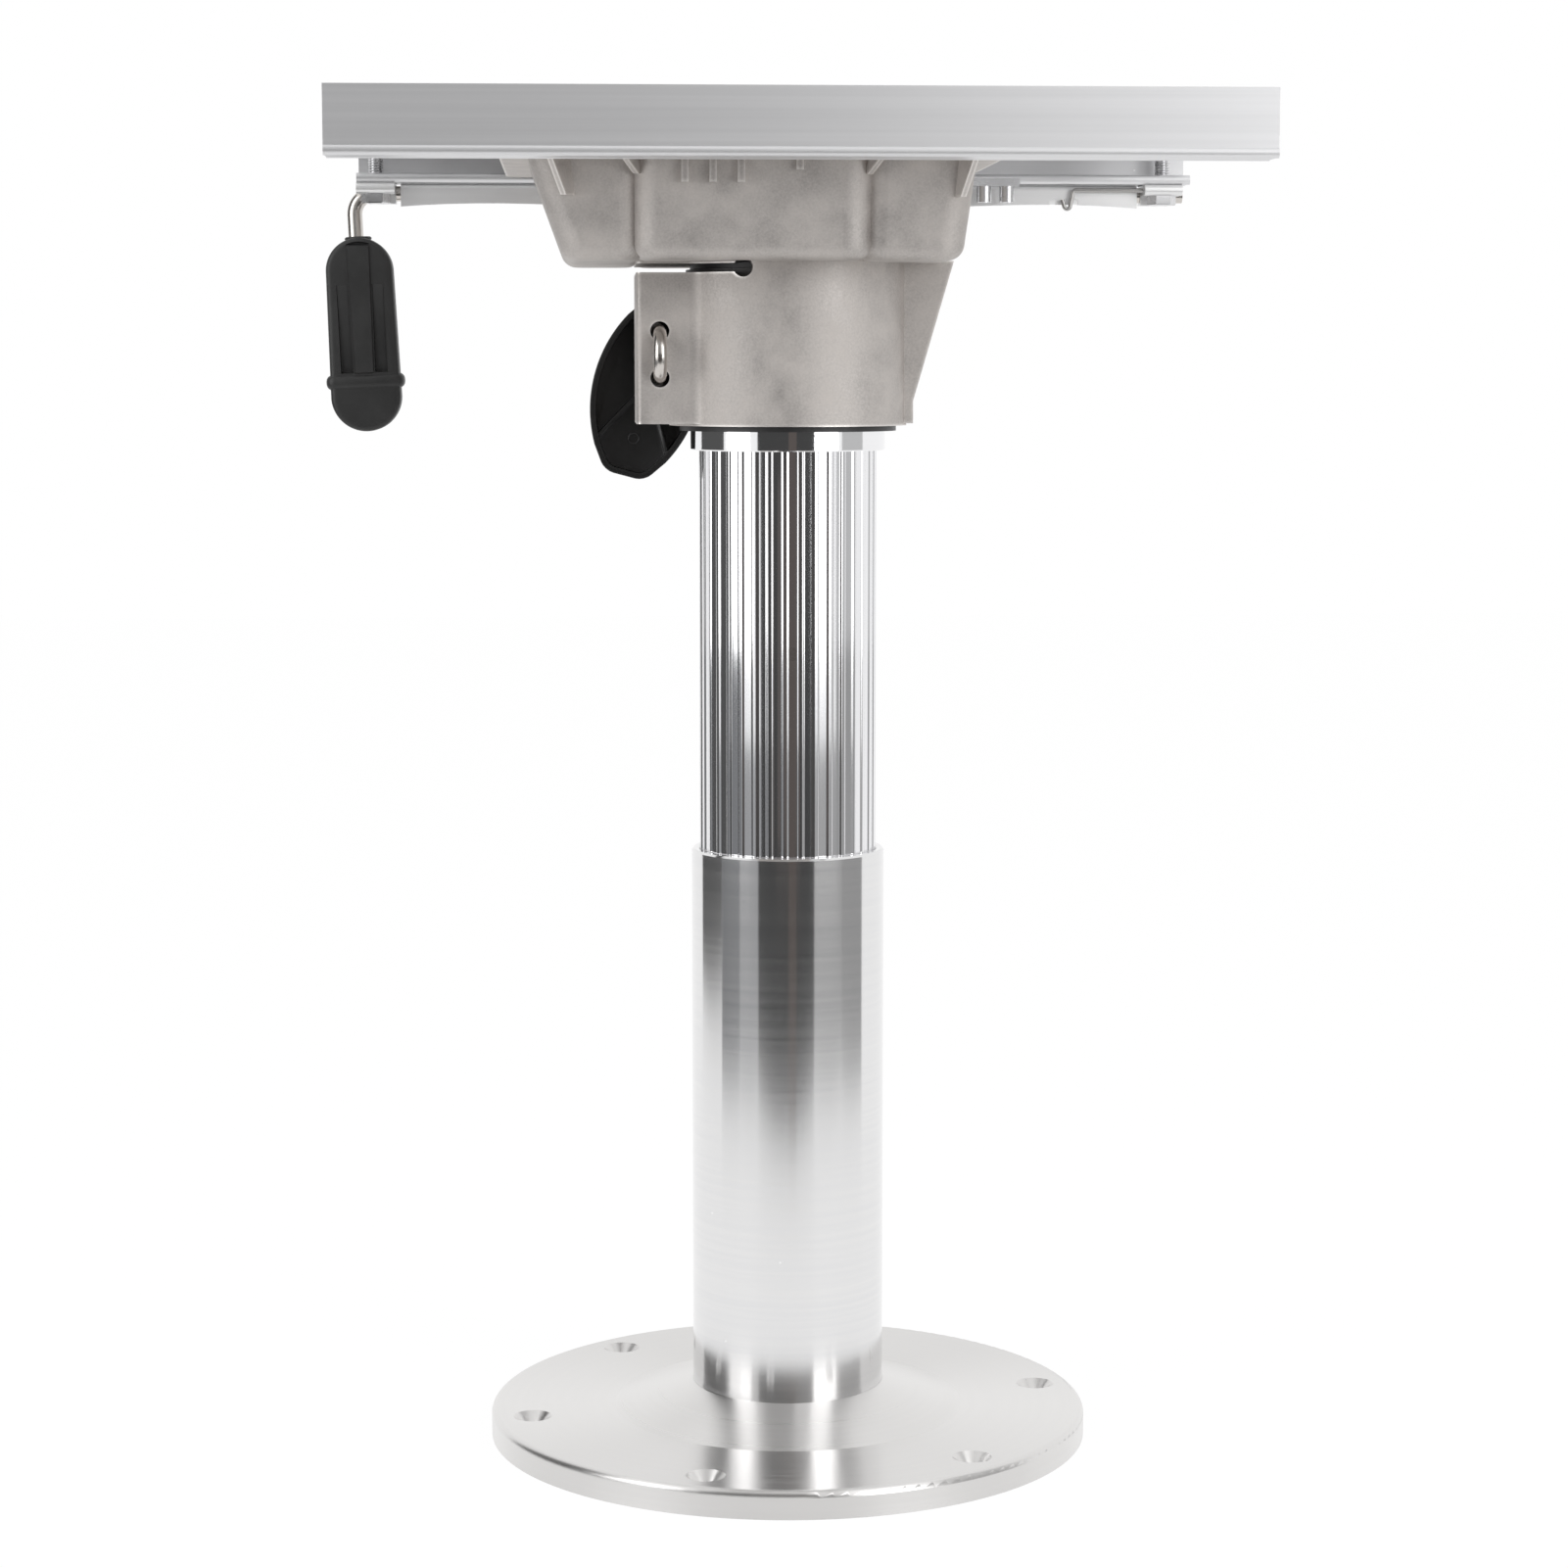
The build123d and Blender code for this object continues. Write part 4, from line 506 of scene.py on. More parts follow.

# %% [markdown]
# ## The casting
#
# The bracket was cast and then tumbled with stones, which leaves it grey, warm and cloudy,
# with a fine grain that catches the light. Clouds change both its colour and its gloss, pits
# add bump, and the edges are paler and glossier than the rest: the pale colour is partly real
# wear and partly a painted highlight.

# %% Make the cast finish
CLOUD_DARK = (0.43, 0.405, 0.388)
CLOUD_PALE = (0.66, 0.628, 0.602)
GRAIN_PALE = (0.74, 0.707, 0.68)
# near-white colour of the outer edges: partly real wear, partly a painted highlight
EDGE_WEAR_AND_HIGHLIGHT_COLOUR = (0.95, 0.92, 0.89)
GRAIN_SHARE = 0.5
EDGE_REACH = 1.3
EDGE_GLOSS = 0.25


def cast_finish():
    """Tumbled cast aluminium."""
    material, tree, shader, bump, position = new_finish("tumbled_casting", 1.0, 0.5, 0.03)
    skin = place_group(tree, CAST_SKIN, position, cloud_size=16.0, grain_size=0.8)
    colour = blend_colours(tree, skin.outputs["Cloud"], CLOUD_DARK, CLOUD_PALE)
    grain = maths(tree, "MULTIPLY", skin.outputs["Grain"], GRAIN_SHARE)
    colour = blend_colours(tree, grain, colour, GRAIN_PALE)
    wear_and_highlight = place_group(tree, EDGE_WEAR_AND_HIGHLIGHT, position, reach=EDGE_REACH).outputs["Mask"]
    # outer edges painted paler: partly real wear, partly a painted highlight
    colour = blend_colours(tree, wear_and_highlight, colour, EDGE_WEAR_AND_HIGHLIGHT_COLOUR)
    rough = blend_values(tree, skin.outputs["Cloud"], 0.58, 0.76)
    rough = maths(tree, "SUBTRACT", rough, maths(tree, "MULTIPLY", wear_and_highlight, EDGE_GLOSS))
    join(tree, colour, shader.inputs["Base Color"])
    join(tree, rough, shader.inputs["Roughness"])
    join(tree, skin.outputs["Height"], bump.inputs["Height"])
    return material


CAST = cast_finish()
print("finish:", CAST.name)

# %% [markdown]
# ## Moulded plastics
#
# The grip and the leaf handle are black nylon with glass fibre: not quite black, evenly dull
# and with the fine pebble of a spark-eroded mould. The glides and bushes are the same stuff,
# smoother, and the gas spring's paint is smoother still. One function makes them all.

# %% Make the plastic finishes
PATCH_SIZE = 14.0


def plastic_finish(name, dark, light, gloss, grain_mm, bump_mm):
    """Moulded plastic with a fine pebble and a slightly uneven gloss."""
    material, tree, shader, bump, position = new_finish(name, 0.0, gloss[0], bump_mm)
    skin = place_group(tree, CAST_SKIN, position, cloud_size=PATCH_SIZE, grain_size=grain_mm)
    colour = blend_colours(tree, skin.outputs["Cloud"], dark, light)
    rough = blend_values(tree, skin.outputs["Grain"], gloss[0], gloss[1])
    join(tree, colour, shader.inputs["Base Color"])
    join(tree, rough, shader.inputs["Roughness"])
    join(tree, skin.outputs["Grain"], bump.inputs["Height"])
    return material


GRIP = plastic_finish("grip_plastic", (0.018, 0.018, 0.018), (0.028, 0.028, 0.028),
                      (0.4, 0.55), 0.35, 0.02)
LEAF = plastic_finish("leaf_plastic", (0.007, 0.007, 0.007), (0.012, 0.012, 0.012),
                      (0.3, 0.45), 0.35, 0.015)
NYLON = plastic_finish("bush_nylon", (0.02, 0.02, 0.021), (0.035, 0.035, 0.036),
                       (0.35, 0.5), 0.5, 0.01)
ENAMEL = plastic_finish("black_enamel", (0.012, 0.012, 0.013), (0.02, 0.02, 0.021),
                        (0.18, 0.3), 1.5, 0.02)
print("plastics and paint:", [finish.name for finish in (GRIP, LEAF, NYLON, ENAMEL)])

# %% [markdown]
# ## Giving each node its finish
#
# The nodes of the frame keep their shapes. Only their material slots are filled here, from a
# table that names the finish of every node, so that nothing is left with a flat colour.

# %% Fill the material slots
FINISHES = {
    PLATE: ["base_plate"],
    TUBE: ["lower_tube"],
    RIBBED: ["ribbed_tube"],
    SLEEVE: ["top_sleeve"],
    RAIL: ["left_rail", "right_rail"],
    BLOCK: ["end_block_front", "end_block_rear", "lock_bar", "mount_ring"],
    STRAP: ["front_strap", "rear_strap"],
    ROD: ["lock_rod", "u_rod"],
    ZINC: ["clamp_bar", "clamp_pad", "clamp_rod_nuts", "clamp_screw", "comb_screws", "end_bolts",
           "gas_rod_nut", "glide_screws", "lock_comb", "lock_finger", "strap_screws"],
    GROUND: ["cross_pins", "gas_rod", "release_pin"],
    SPRING: ["return_spring", "retaining_ring"],
    CAST: ["seat_bracket"],
    GRIP: ["lever_grip"],
    LEAF: ["clamp_handle"],
    NYLON: ["foot_bush", "post_cap", "swivel_bush", "thrust_washer", "glide_front_left",
            "glide_front_right", "glide_rear_left", "glide_rear_right"],
    ENAMEL: ["gas_cylinder"],
}
for finish, names in FINISHES.items():
    for name in names:
        nodes[name].data.materials.clear()
        nodes[name].data.materials.append(finish)
print("nodes with a finish:", sum(len(names) for names in FINISHES.values()), "of", len(nodes))

# %% [markdown]
# ## Soft edges
#
# No real edge is perfectly sharp: a tumbled casting or a sawn rail has a tiny round there, and
# that round catches the light as a thin bright line. The nodes of the frame come as loose
# triangles with sharp edges. Three live modifiers give them the round without touching their
# meshes: Weld joins the triangles, Bevel rounds every edge that is sharper than an angle, and
# Weighted Normal keeps the flat faces flat.

# %% Round the edges of the larger nodes
EDGE_ROUNDS = {          # width of the round in millimetres, and its nodes
    0.45: ["seat_bracket"],
    0.2: ["left_rail", "right_rail", "end_block_front", "end_block_rear", "lock_bar"],
}
SHARP_FROM = math.radians(32)
WELD_WITHIN = 0.002


def round_edges(node, width_mm):
    """Live modifiers that show a small round on the sharp edges of a node."""
    node.modifiers.new("weld", "WELD").merge_threshold = WELD_WITHIN * MM
    bevel = node.modifiers.new("edge_round", "BEVEL")
    bevel.width = width_mm * MM
    bevel.segments = 2
    bevel.limit_method = "ANGLE"
    bevel.angle_limit = SHARP_FROM
    bevel.harden_normals = True
    node.modifiers.new("flat_faces", "WEIGHTED_NORMAL").keep_sharp = True


for width_mm, names in EDGE_ROUNDS.items():
    for name in names:
        round_edges(nodes[name], width_mm)
print("nodes with soft edges:", sum(len(names) for names in EDGE_ROUNDS.values()))

# %% [markdown]
# ## Modelling by hand
#
# Some pieces of the frame are plain where the real ones are moulded or threaded. They are
# modelled again here with the same steps as at the screen: start from a primitive, pick faces
# or edges by where they lie, then inset, extrude or bevel them. Each piece is shaped about its
# own origin in millimetres, then brought to its place, and the place is applied to its mesh.

# %% Helpers for modelling
ON_PLANE = 0.01          # how far off a point may lie and still count as on a plane


def primitive(make, scale=(1, 1, 1), **values):
    """New object from an Add operator, its place, turn and scale applied to its mesh."""
    if bpy.context.mode != "OBJECT":
        bpy.ops.object.mode_set(mode="OBJECT")
    make(**values)
    piece = bpy.context.object
    piece.scale = scale
    bpy.ops.object.transform_apply(location=True, rotation=True, scale=True)
    return piece


def pick(piece, kind, test):
    """Select the faces, edges or vertices whose place and direction pass a test."""
    bpy.ops.object.mode_set(mode="EDIT")
    bpy.ops.mesh.select_mode(type=kind)
    bpy.ops.mesh.select_all(action="DESELECT")
    bpy.ops.object.mode_set(mode="OBJECT")
    mesh = piece.data
    if kind == "FACE":
        for face in mesh.polygons:
            face.select = test(face.center, face.normal)
    elif kind == "EDGE":
        for edge in mesh.edges:
            first, second = (mesh.vertices[i].co for i in edge.vertices)
            edge.select = test((first + second) / 2, (second - first).normalized())
    else:
        for vertex in mesh.vertices:
            vertex.select = test(vertex.co, vertex.normal)
    bpy.ops.object.mode_set(mode="EDIT")


def pick_all(piece, kind="FACE"):
    """Select the whole piece."""
    pick(piece, kind, lambda place, direction: True)


def draw_out(x, y, z):
    """Extrude what is selected by a step in millimetres."""
    bpy.ops.mesh.extrude_region_move(TRANSFORM_OT_translate={"value": (x, y, z)})


def use_modifier(piece, name, kind, **values):
    """Add a modifier with its settings and apply it."""
    bpy.ops.object.mode_set(mode="OBJECT")
    modifier = piece.modifiers.new(name, kind)
    for label, value in values.items():
        setattr(modifier, label, value)
    bpy.ops.object.modifier_apply(modifier=name)


def bring(piece, name, place, turn, finish):
    """Scale a piece from millimetres, turn it and bring it to its place, all in its mesh."""
    bpy.ops.object.mode_set(mode="OBJECT")
    piece.name = name
    piece.scale = (MM, MM, MM)
    piece.rotation_euler = turn
    piece.location = place
    bpy.ops.object.transform_apply(location=True, rotation=True, scale=True)
    bpy.ops.object.shade_smooth_by_angle(angle=SHARP_FROM)
    piece.data.materials.clear()
    piece.data.materials.append(finish)


def merged(pieces):
    """Join several objects into the first, as one mesh."""
    bpy.ops.object.mode_set(mode="OBJECT")
    bpy.ops.object.select_all(action="DESELECT")
    for piece in pieces:
        piece.select_set(True)
    bpy.context.view_layer.objects.active = pieces[0]
    bpy.ops.object.join()
    return pieces[0]


print("modelling helpers ready")

# %% [markdown]
# ## The hand grip
#
# The grip is a flat moulding with a round head and tail. It starts as a round face, whose
# lower half is widened and moved down to the length that the frame's own piece has. The face
# is then drawn out to the thickness, and its rims are rounded.

# %% Model the body of the grip
GRIP_HEAD = 13.2
GRIP_TAIL = 13.9
GRIP_THICK = 14.0
GRIP_RIM = 2.4
grip_low, grip_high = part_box("lever_grip")
grip_size = (grip_high - grip_low) / MM


def grip_body(length):
    """Flat prism with a round head at its top and a wider round tail."""
    body = primitive(bpy.ops.mesh.primitive_circle_add, vertices=62, radius=GRIP_HEAD,
                     fill_type="NGON", rotation=(math.radians(90), 0, 0),
                     location=(0, 0, -GRIP_HEAD))
    pick(body, "VERT", lambda place, normal: place.z < -GRIP_HEAD)
    grow = GRIP_TAIL / GRIP_HEAD
    bpy.ops.transform.resize(value=(grow, 1, grow), center_override=(0, 0, -GRIP_HEAD))
    bpy.ops.transform.translate(value=(0, 0, GRIP_TAIL + GRIP_HEAD - length))
    pick_all(body)
    draw_out(0, GRIP_THICK, 0)
    pick_all(body, "VERT")
    bpy.ops.transform.translate(value=(0, -GRIP_THICK / 2, 0))
    bpy.ops.mesh.normals_make_consistent(inside=False)
    pick(body, "EDGE", lambda place, along: abs(abs(place.y) - GRIP_THICK / 2) < ON_PLANE)
    bpy.ops.mesh.bevel(offset=GRIP_RIM, segments=5, profile=0.6)
    return body


body = grip_body(grip_size.z)
print("grip length:", round(grip_size.z, 1), "mm")

# %% [markdown]
# ## The faces of the grip
#
# On both faces a slim raised panel runs down the middle, with a pocket either side that gets
# deeper towards the collar. Planes cut the faces along all of these first, so that each has
# faces of its own, which are then picked by where they lie.

# %% Cut the faces of the grip
PANEL_TOP = -3.0
PANEL_TOP_HALF = 4.7
PANEL_LOW_HALF = 3.9
POCKET_OUTER = 9.6
POCKET_TOP = -18.0
COLLAR_TOP = -53.6
taper = (PANEL_TOP_HALF - PANEL_LOW_HALF) / (COLLAR_TOP - PANEL_TOP)
cuts = []
for side in (-1, 1):
    cuts.append(((side * PANEL_TOP_HALF, 0, PANEL_TOP), (1, 0, side * taper)))
    cuts.append(((side * POCKET_OUTER, 0, 0), (1, 0, 0)))
for height in (PANEL_TOP, POCKET_TOP, COLLAR_TOP):
    cuts.append(((0, 0, height), (0, 0, 1)))
for point, direction in cuts:
    pick_all(body)
    bpy.ops.mesh.bisect(plane_co=point, plane_no=direction)
print("cuts:", len(cuts))

# %% Sink the pockets, raise the panels and hollow the hood
FACE_REACH = 0.05
POCKET_RIM = 0.35
POCKET_WALL = 0.25
POCKET_DEPTH = 2.4
POCKET_STEP = 0.15
PANEL_RIM = 0.45
PANEL_PROUD = 0.7
HOOD_RIM = 0.5
HOOD_DEPTH = 1.2


def on_face(place):
    """Whether a point lies on the front or back face of the grip."""
    return abs(place.y) > GRIP_THICK / 2 - FACE_REACH


def in_pocket(place, normal):
    """Whether a face lies in one of the four pockets."""
    return (on_face(place) and PANEL_LOW_HALF < abs(place.x) < POCKET_OUTER
            and COLLAR_TOP < place.z < POCKET_TOP)


def on_panel(place, normal):
    """Whether a face lies on one of the two raised panels."""
    return (on_face(place) and abs(place.x) < PANEL_LOW_HALF
            and COLLAR_TOP < place.z < PANEL_TOP)


def in_hood(place, normal):
    """Whether a face lies above the panel, where the rod goes in."""
    return on_face(place) and abs(place.x) < PANEL_TOP_HALF and place.z > PANEL_TOP


def sink_pockets(body):
    """Sink the pockets a little all over, then squeeze their lower ends to the full depth."""
    pick(body, "FACE", in_pocket)
    bpy.ops.mesh.inset(thickness=POCKET_RIM, depth=0)
    bpy.ops.mesh.inset(thickness=POCKET_WALL, depth=-POCKET_STEP)
    floor = GRIP_THICK / 2 - POCKET_STEP
    pick(body, "VERT", lambda place, normal: abs(place.z - COLLAR_TOP) < 0.8
         and PANEL_LOW_HALF - 1 < abs(place.x) < POCKET_OUTER
         and abs(abs(place.y) - floor) < 2 * ON_PLANE)
    squeeze = 1 - (POCKET_DEPTH - POCKET_STEP) / floor
    bpy.ops.transform.resize(value=(1, squeeze, 1), center_override=(0, 0, 0))


sink_pockets(body)
pick(body, "FACE", on_panel)
bpy.ops.mesh.inset(thickness=PANEL_RIM, depth=PANEL_PROUD)
pick(body, "FACE", in_hood)
bpy.ops.mesh.inset(thickness=HOOD_RIM, depth=-HOOD_DEPTH)
print("pockets:", POCKET_DEPTH, "mm deep, hood:", HOOD_DEPTH, "mm deep")

# %% [markdown]
# ## The collar and the lip of the grip
#
# The collar is a roll with round ends: a box whose upright edges are rounded first, and then
# all the others. An oval lip stands round the hole of the rod. Both are joined to the body,
# and the grip takes the lean and the place of the frame's own piece.

# %% Add the collar and the lip
COLLAR_LOW = -59.8
COLLAR_WIDER = 3.0
COLLAR_THICKER = 1.6
COLLAR_CORNER = 3.4
COLLAR_ROLL = 0.42
GRIP_LEAN = math.radians(2.4)


def grip_collar():
    """Roll round the grip with round ends."""
    height = COLLAR_TOP - COLLAR_LOW
    sides = (2 * GRIP_TAIL + COLLAR_WIDER, GRIP_THICK + COLLAR_THICKER, height)
    collar = primitive(bpy.ops.mesh.primitive_cube_add, scale=sides, size=1,
                       location=(0, 0, (COLLAR_TOP + COLLAR_LOW) / 2))
    pick(collar, "EDGE", lambda place, along: abs(along.z) > 0.9)
    bpy.ops.mesh.bevel(offset=COLLAR_CORNER, segments=6)
    pick(collar, "EDGE", lambda place, along: abs(along.z) < 0.1)
    bpy.ops.mesh.bevel(offset=height * COLLAR_ROLL, segments=4)
    return collar


lip_values = {"major_radius": 3.5, "minor_radius": 0.8, "major_segments": 40, "minor_segments": 10}
collar = grip_collar()
lip = primitive(bpy.ops.mesh.primitive_torus_add, scale=(1.25, 1.05, 1), location=(0, 0, -0.3),
                **lip_values)
grip = merged([body, collar, lip])
half_lean = math.sin(GRIP_LEAN) * grip_size.z * MM / 2
grip_place = Vector(((grip_low.x + grip_high.x) / 2 - half_lean,
                     (grip_low.y + grip_high.y) / 2, grip_high.z))
bring(grip, "moulded_grip", grip_place, (0, -GRIP_LEAN, 0), GRIP)
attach(grip, "slide_lever")
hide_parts("lever_grip")
print("grip faces:", len(grip.data.polygons))

# %% [markdown]
# ## The ribbed tube
#
# The inner tube is extruded with thirty-six low ribs that keep it from turning. Their corners
# are rounded, and each corner shows one of the two soft boxes as a thin bright line. On the
# frame's piece the corners are sharp and show nothing, so the tube is made again: a circle of
# many vertices, of which those on a rib are moved outwards in three steps, drawn up and given
# its wall. The radius is worked out from the frame's piece, whose ribs come nearest to the Y
# axis with a corner.

# %% Model the ribbed tube
RIB_COUNT = 36
STEPS_PER_RIB = 20
RIB_HEIGHT = 0.45
RIB_PROFILE = ((1.0, 1.0), (1.5, 0.84), (2.0, 0.22))    # degrees from its middle, share of height
RIB_CORNER_TO_Y = math.radians(3.4)
BETWEEN_STEPS = 0.1
TUBE_WALL = 3.0
SMOOTH_RIBS = math.radians(70)
tube_low, tube_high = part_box("ribbed_tube")
rib_pitch = 360 / RIB_COUNT
tube_length = (tube_high.z - tube_low.z) / MM
corner_radius = (tube_high.y - tube_low.y) / 2 / MM / math.cos(RIB_CORNER_TO_Y)
land_radius = corner_radius - RIB_HEIGHT


def from_rib(place):
    """Angle in degrees from a point on the circle to the middle of the nearest rib."""
    angle = math.degrees(math.atan2(place.y, place.x))
    return abs(angle % rib_pitch - rib_pitch / 2)


ribbed = primitive(bpy.ops.mesh.primitive_circle_add, vertices=RIB_COUNT * STEPS_PER_RIB,
                   radius=land_radius, fill_type="NOTHING")
reached = -1.0
for reach, share in RIB_PROFILE:
    pick(ribbed, "VERT", lambda place, normal:
         reached + BETWEEN_STEPS < from_rib(place) < reach + BETWEEN_STEPS)
    grow = 1 + RIB_HEIGHT * share / land_radius
    bpy.ops.transform.resize(value=(grow, grow, 1), center_override=(0, 0, 0))
    reached = reach
bpy.ops.mesh.select_all(action="SELECT")
draw_out(0, 0, tube_length)
bpy.ops.mesh.select_all(action="SELECT")
bpy.ops.mesh.normals_make_consistent(inside=False)
use_modifier(ribbed, "wall", "SOLIDIFY", thickness=TUBE_WALL, offset=-1.0)
bring(ribbed, "fluted_tube", Vector((0, 0, tube_low.z)), (0, 0, 0), RIBBED)
bpy.ops.object.shade_smooth_by_angle(angle=SMOOTH_RIBS)
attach(ribbed, "post")
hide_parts("ribbed_tube")
print("tube faces:", len(ribbed.data.polygons), "land radius", round(land_radius, 2), "mm")

# %% [markdown]
# ## The leaf handle
#
# The clamp is turned by a black moulding in the shape of a leaf. Its outline starts as a part
# of a large disc, cut by three planes and mirrored. The points beside the four corners are
# dissolved, so that each corner has long edges to round off.

# %% Model the outline of the leaf
LEAF_HALF_LENGTH = 34.7
LEAF_HALF_WIDTH = 21.0
LEAF_END_HALF = 8.0
leaf_bulge = LEAF_HALF_WIDTH - LEAF_END_HALF
LEAF_ARC = (LEAF_HALF_LENGTH ** 2 + leaf_bulge ** 2) / (2 * leaf_bulge)
LEAF_DEPTH = 13.0
LEAF_CORNER = 3.6
LEAF_MIDDLE = 13.4


def leaf_shell():
    """Solid leaf: half a leaf mirrored, rounded at its corners and given its depth."""
    leaf = primitive(bpy.ops.mesh.primitive_circle_add, vertices=160, radius=LEAF_ARC,
                     fill_type="NGON", location=(0, LEAF_HALF_WIDTH - LEAF_ARC, 0))
    for point, direction in (((0, 0, 0), (0, -1, 0)), ((LEAF_HALF_LENGTH, 0, 0), (1, 0, 0)),
                             ((-LEAF_HALF_LENGTH, 0, 0), (-1, 0, 0))):
        pick_all(leaf)
        bpy.ops.mesh.bisect(plane_co=point, plane_no=direction, clear_outer=True)
    use_modifier(leaf, "other_half", "MIRROR", use_axis=(False, True, False))
    pick(leaf, "EDGE", lambda place, along: abs(place.y) < ON_PLANE and abs(along.x) > 0.9)
    bpy.ops.mesh.dissolve_edges(use_verts=True)
    pick(leaf, "VERT", lambda place, normal:
         ON_PLANE < LEAF_HALF_LENGTH - abs(place.x) < 2 * LEAF_CORNER)
    bpy.ops.mesh.dissolve_verts()
    pick(leaf, "VERT", lambda place, normal:
         abs(abs(place.x) - LEAF_HALF_LENGTH) < ON_PLANE and abs(place.y) > 1)
    bpy.ops.mesh.bevel(offset=LEAF_CORNER, segments=4, affect="VERTICES")
    pick_all(leaf)
    draw_out(0, 0, LEAF_DEPTH)
    pick_all(leaf, "VERT")
    bpy.ops.transform.translate(value=(LEAF_MIDDLE, 0, 0))
    bpy.ops.mesh.normals_make_consistent(inside=False)
    return leaf


leaf = leaf_shell()
print("arc of the leaf:", round(LEAF_ARC, 1), "mm")

# %% [markdown]
# ## The hollow side of the leaf
#
# Towards the ear the leaf is open: its rim is a thin wall, two spokes run out from the hub to
# the tip, and the floor between them is raised. The open face is inset for the rim and pushed
# in to the level of the spokes. Four cuts give the spokes faces of their own, and the other
# faces are pushed in further, those between the spokes the least.

# %% Hollow the leaf
LEAF_WALL = 2.4
SPOKE_START = 11.4
SPOKE_SLOPE = 0.56
SPOKE_HALF = 0.9
SPOKE_LEVEL = 2.0
TIP_STEP = 3.2
DEEP_STEP = 5.2


def off_spoke(place, side):
    """How far a point lies outside one of the two spokes, in the plane of the leaf."""
    return side * place.y - SPOKE_SLOPE * (place.x - SPOKE_START)


def on_spoke(place):
    """Whether a point of the open face lies on a spoke."""
    return any(abs(off_spoke(place, side)) < SPOKE_HALF and side * place.y > 0.3
               for side in (-1, 1))


def on_tip(place):
    """Whether a point lies between the two spokes, towards the tip."""
    return all(off_spoke(place, side) < -SPOKE_HALF for side in (-1, 1))


def at_level(place, normal, level):
    """Whether a face of the open side lies at a level."""
    return normal.z < -0.9 and abs(place.z - level) < ON_PLANE


pick(leaf, "FACE", lambda place, normal: normal.z < -0.9)
bpy.ops.mesh.inset(thickness=LEAF_WALL, depth=0)
draw_out(0, 0, SPOKE_LEVEL)
for side in (-1, 1):
    for edge in (-SPOKE_HALF, SPOKE_HALF):
        pick(leaf, "FACE", lambda place, normal: at_level(place, normal, SPOKE_LEVEL))
        bpy.ops.mesh.bisect(plane_co=(SPOKE_START, side * edge, SPOKE_LEVEL),
                            plane_no=(-SPOKE_SLOPE, side, 0))
pick(leaf, "FACE", lambda place, normal:
     at_level(place, normal, SPOKE_LEVEL) and not on_spoke(place))
draw_out(0, 0, TIP_STEP)
pick(leaf, "FACE", lambda place, normal:
     at_level(place, normal, SPOKE_LEVEL + TIP_STEP) and not on_tip(place))
draw_out(0, 0, DEEP_STEP)
print("floor of the leaf:", round(LEAF_DEPTH - SPOKE_LEVEL - TIP_STEP - DEEP_STEP, 1), "mm thick")

# %% [markdown]
# ## The edges, the hub and the place of the leaf
#
# The shortest edges are merged first, since a bevel is never wider than the shortest edge lets
# it be. The hub and the round mark of an ejector pin are joined to the leaf. It then hangs from
# the axis of the clamp joint, leaning forward, with its open side towards the ear.

# %% Finish the leaf and bring it to its place
SHORTEST_EDGE = 0.16
LEAF_BACK_ROUND = 2.6
LEAF_EDGE_ROUND = 0.35
HUB_RADIUS = 8.5
HUB_SHORTER = 2.0
PIN_MARK_X = 33.2
LEAF_LEAN = math.radians(15)
pick_all(leaf, "VERT")
bpy.ops.mesh.remove_doubles(threshold=SHORTEST_EDGE)
pick(leaf, "EDGE", lambda place, along: abs(place.z - LEAF_DEPTH) < ON_PLANE)
bpy.ops.mesh.bevel(offset=LEAF_BACK_ROUND, segments=5)
use_modifier(leaf, "edge_round", "BEVEL", width=LEAF_EDGE_ROUND, segments=2,
             limit_method="ANGLE", angle_limit=math.radians(50))
hub = primitive(bpy.ops.mesh.primitive_cylinder_add, vertices=48, radius=HUB_RADIUS,
                depth=LEAF_DEPTH - HUB_SHORTER, location=(0, 0, LEAF_DEPTH / 2))
pin_mark = primitive(bpy.ops.mesh.primitive_torus_add, major_radius=2.0, minor_radius=0.25,
                     major_segments=32, minor_segments=8,
                     location=(PIN_MARK_X, 0, SPOKE_LEVEL + TIP_STEP))
leaf = merged([leaf, hub, pin_mark])
clamp_axis = next(j for j in frame["joints"] if j["name"] == "clamp_turn")["pos_m"]
leaf_place = Vector((clamp_axis[0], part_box("clamp_handle")[0].y, clamp_axis[2]))
down = Vector((-math.sin(LEAF_LEAN), 0, -math.cos(LEAF_LEAN)))
inward = Vector((0, 1, 0))
leaf_turn = Matrix((down, inward.cross(down), inward)).transposed().to_euler()
bring(leaf, "leaf_moulding", leaf_place, leaf_turn, LEAF)
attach(leaf, "clamp_handle")
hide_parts("clamp_handle")
print("leaf faces:", len(leaf.data.polygons))

# %% [markdown]
# ## The end bolts
#
# Two long bolts hold the end blocks under the far rail, and their threads show in the open
# channel. One bolt is modelled and copied. Its thread starts as a plain cylinder: its upright
# edges are divided into rings, and every other ring is drawn in.

# %% Model one end bolt
THREAD_PITCH = 1.0
THREAD_ROOT = 0.86
BOLT_RADIUS = 3.0
HEAD_HEIGHT = 3.8
HEAD_FLATS = 10.0
HEAD_RIM = 0.9
HEAD_PROUD = 0.01
HEAD_CORNER = 0.5
bolts_low, bolts_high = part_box("end_bolts")
shank_length = (bolts_high.z - bolts_low.z) / MM - HEAD_HEIGHT
head_radius = HEAD_FLATS / math.sqrt(3)


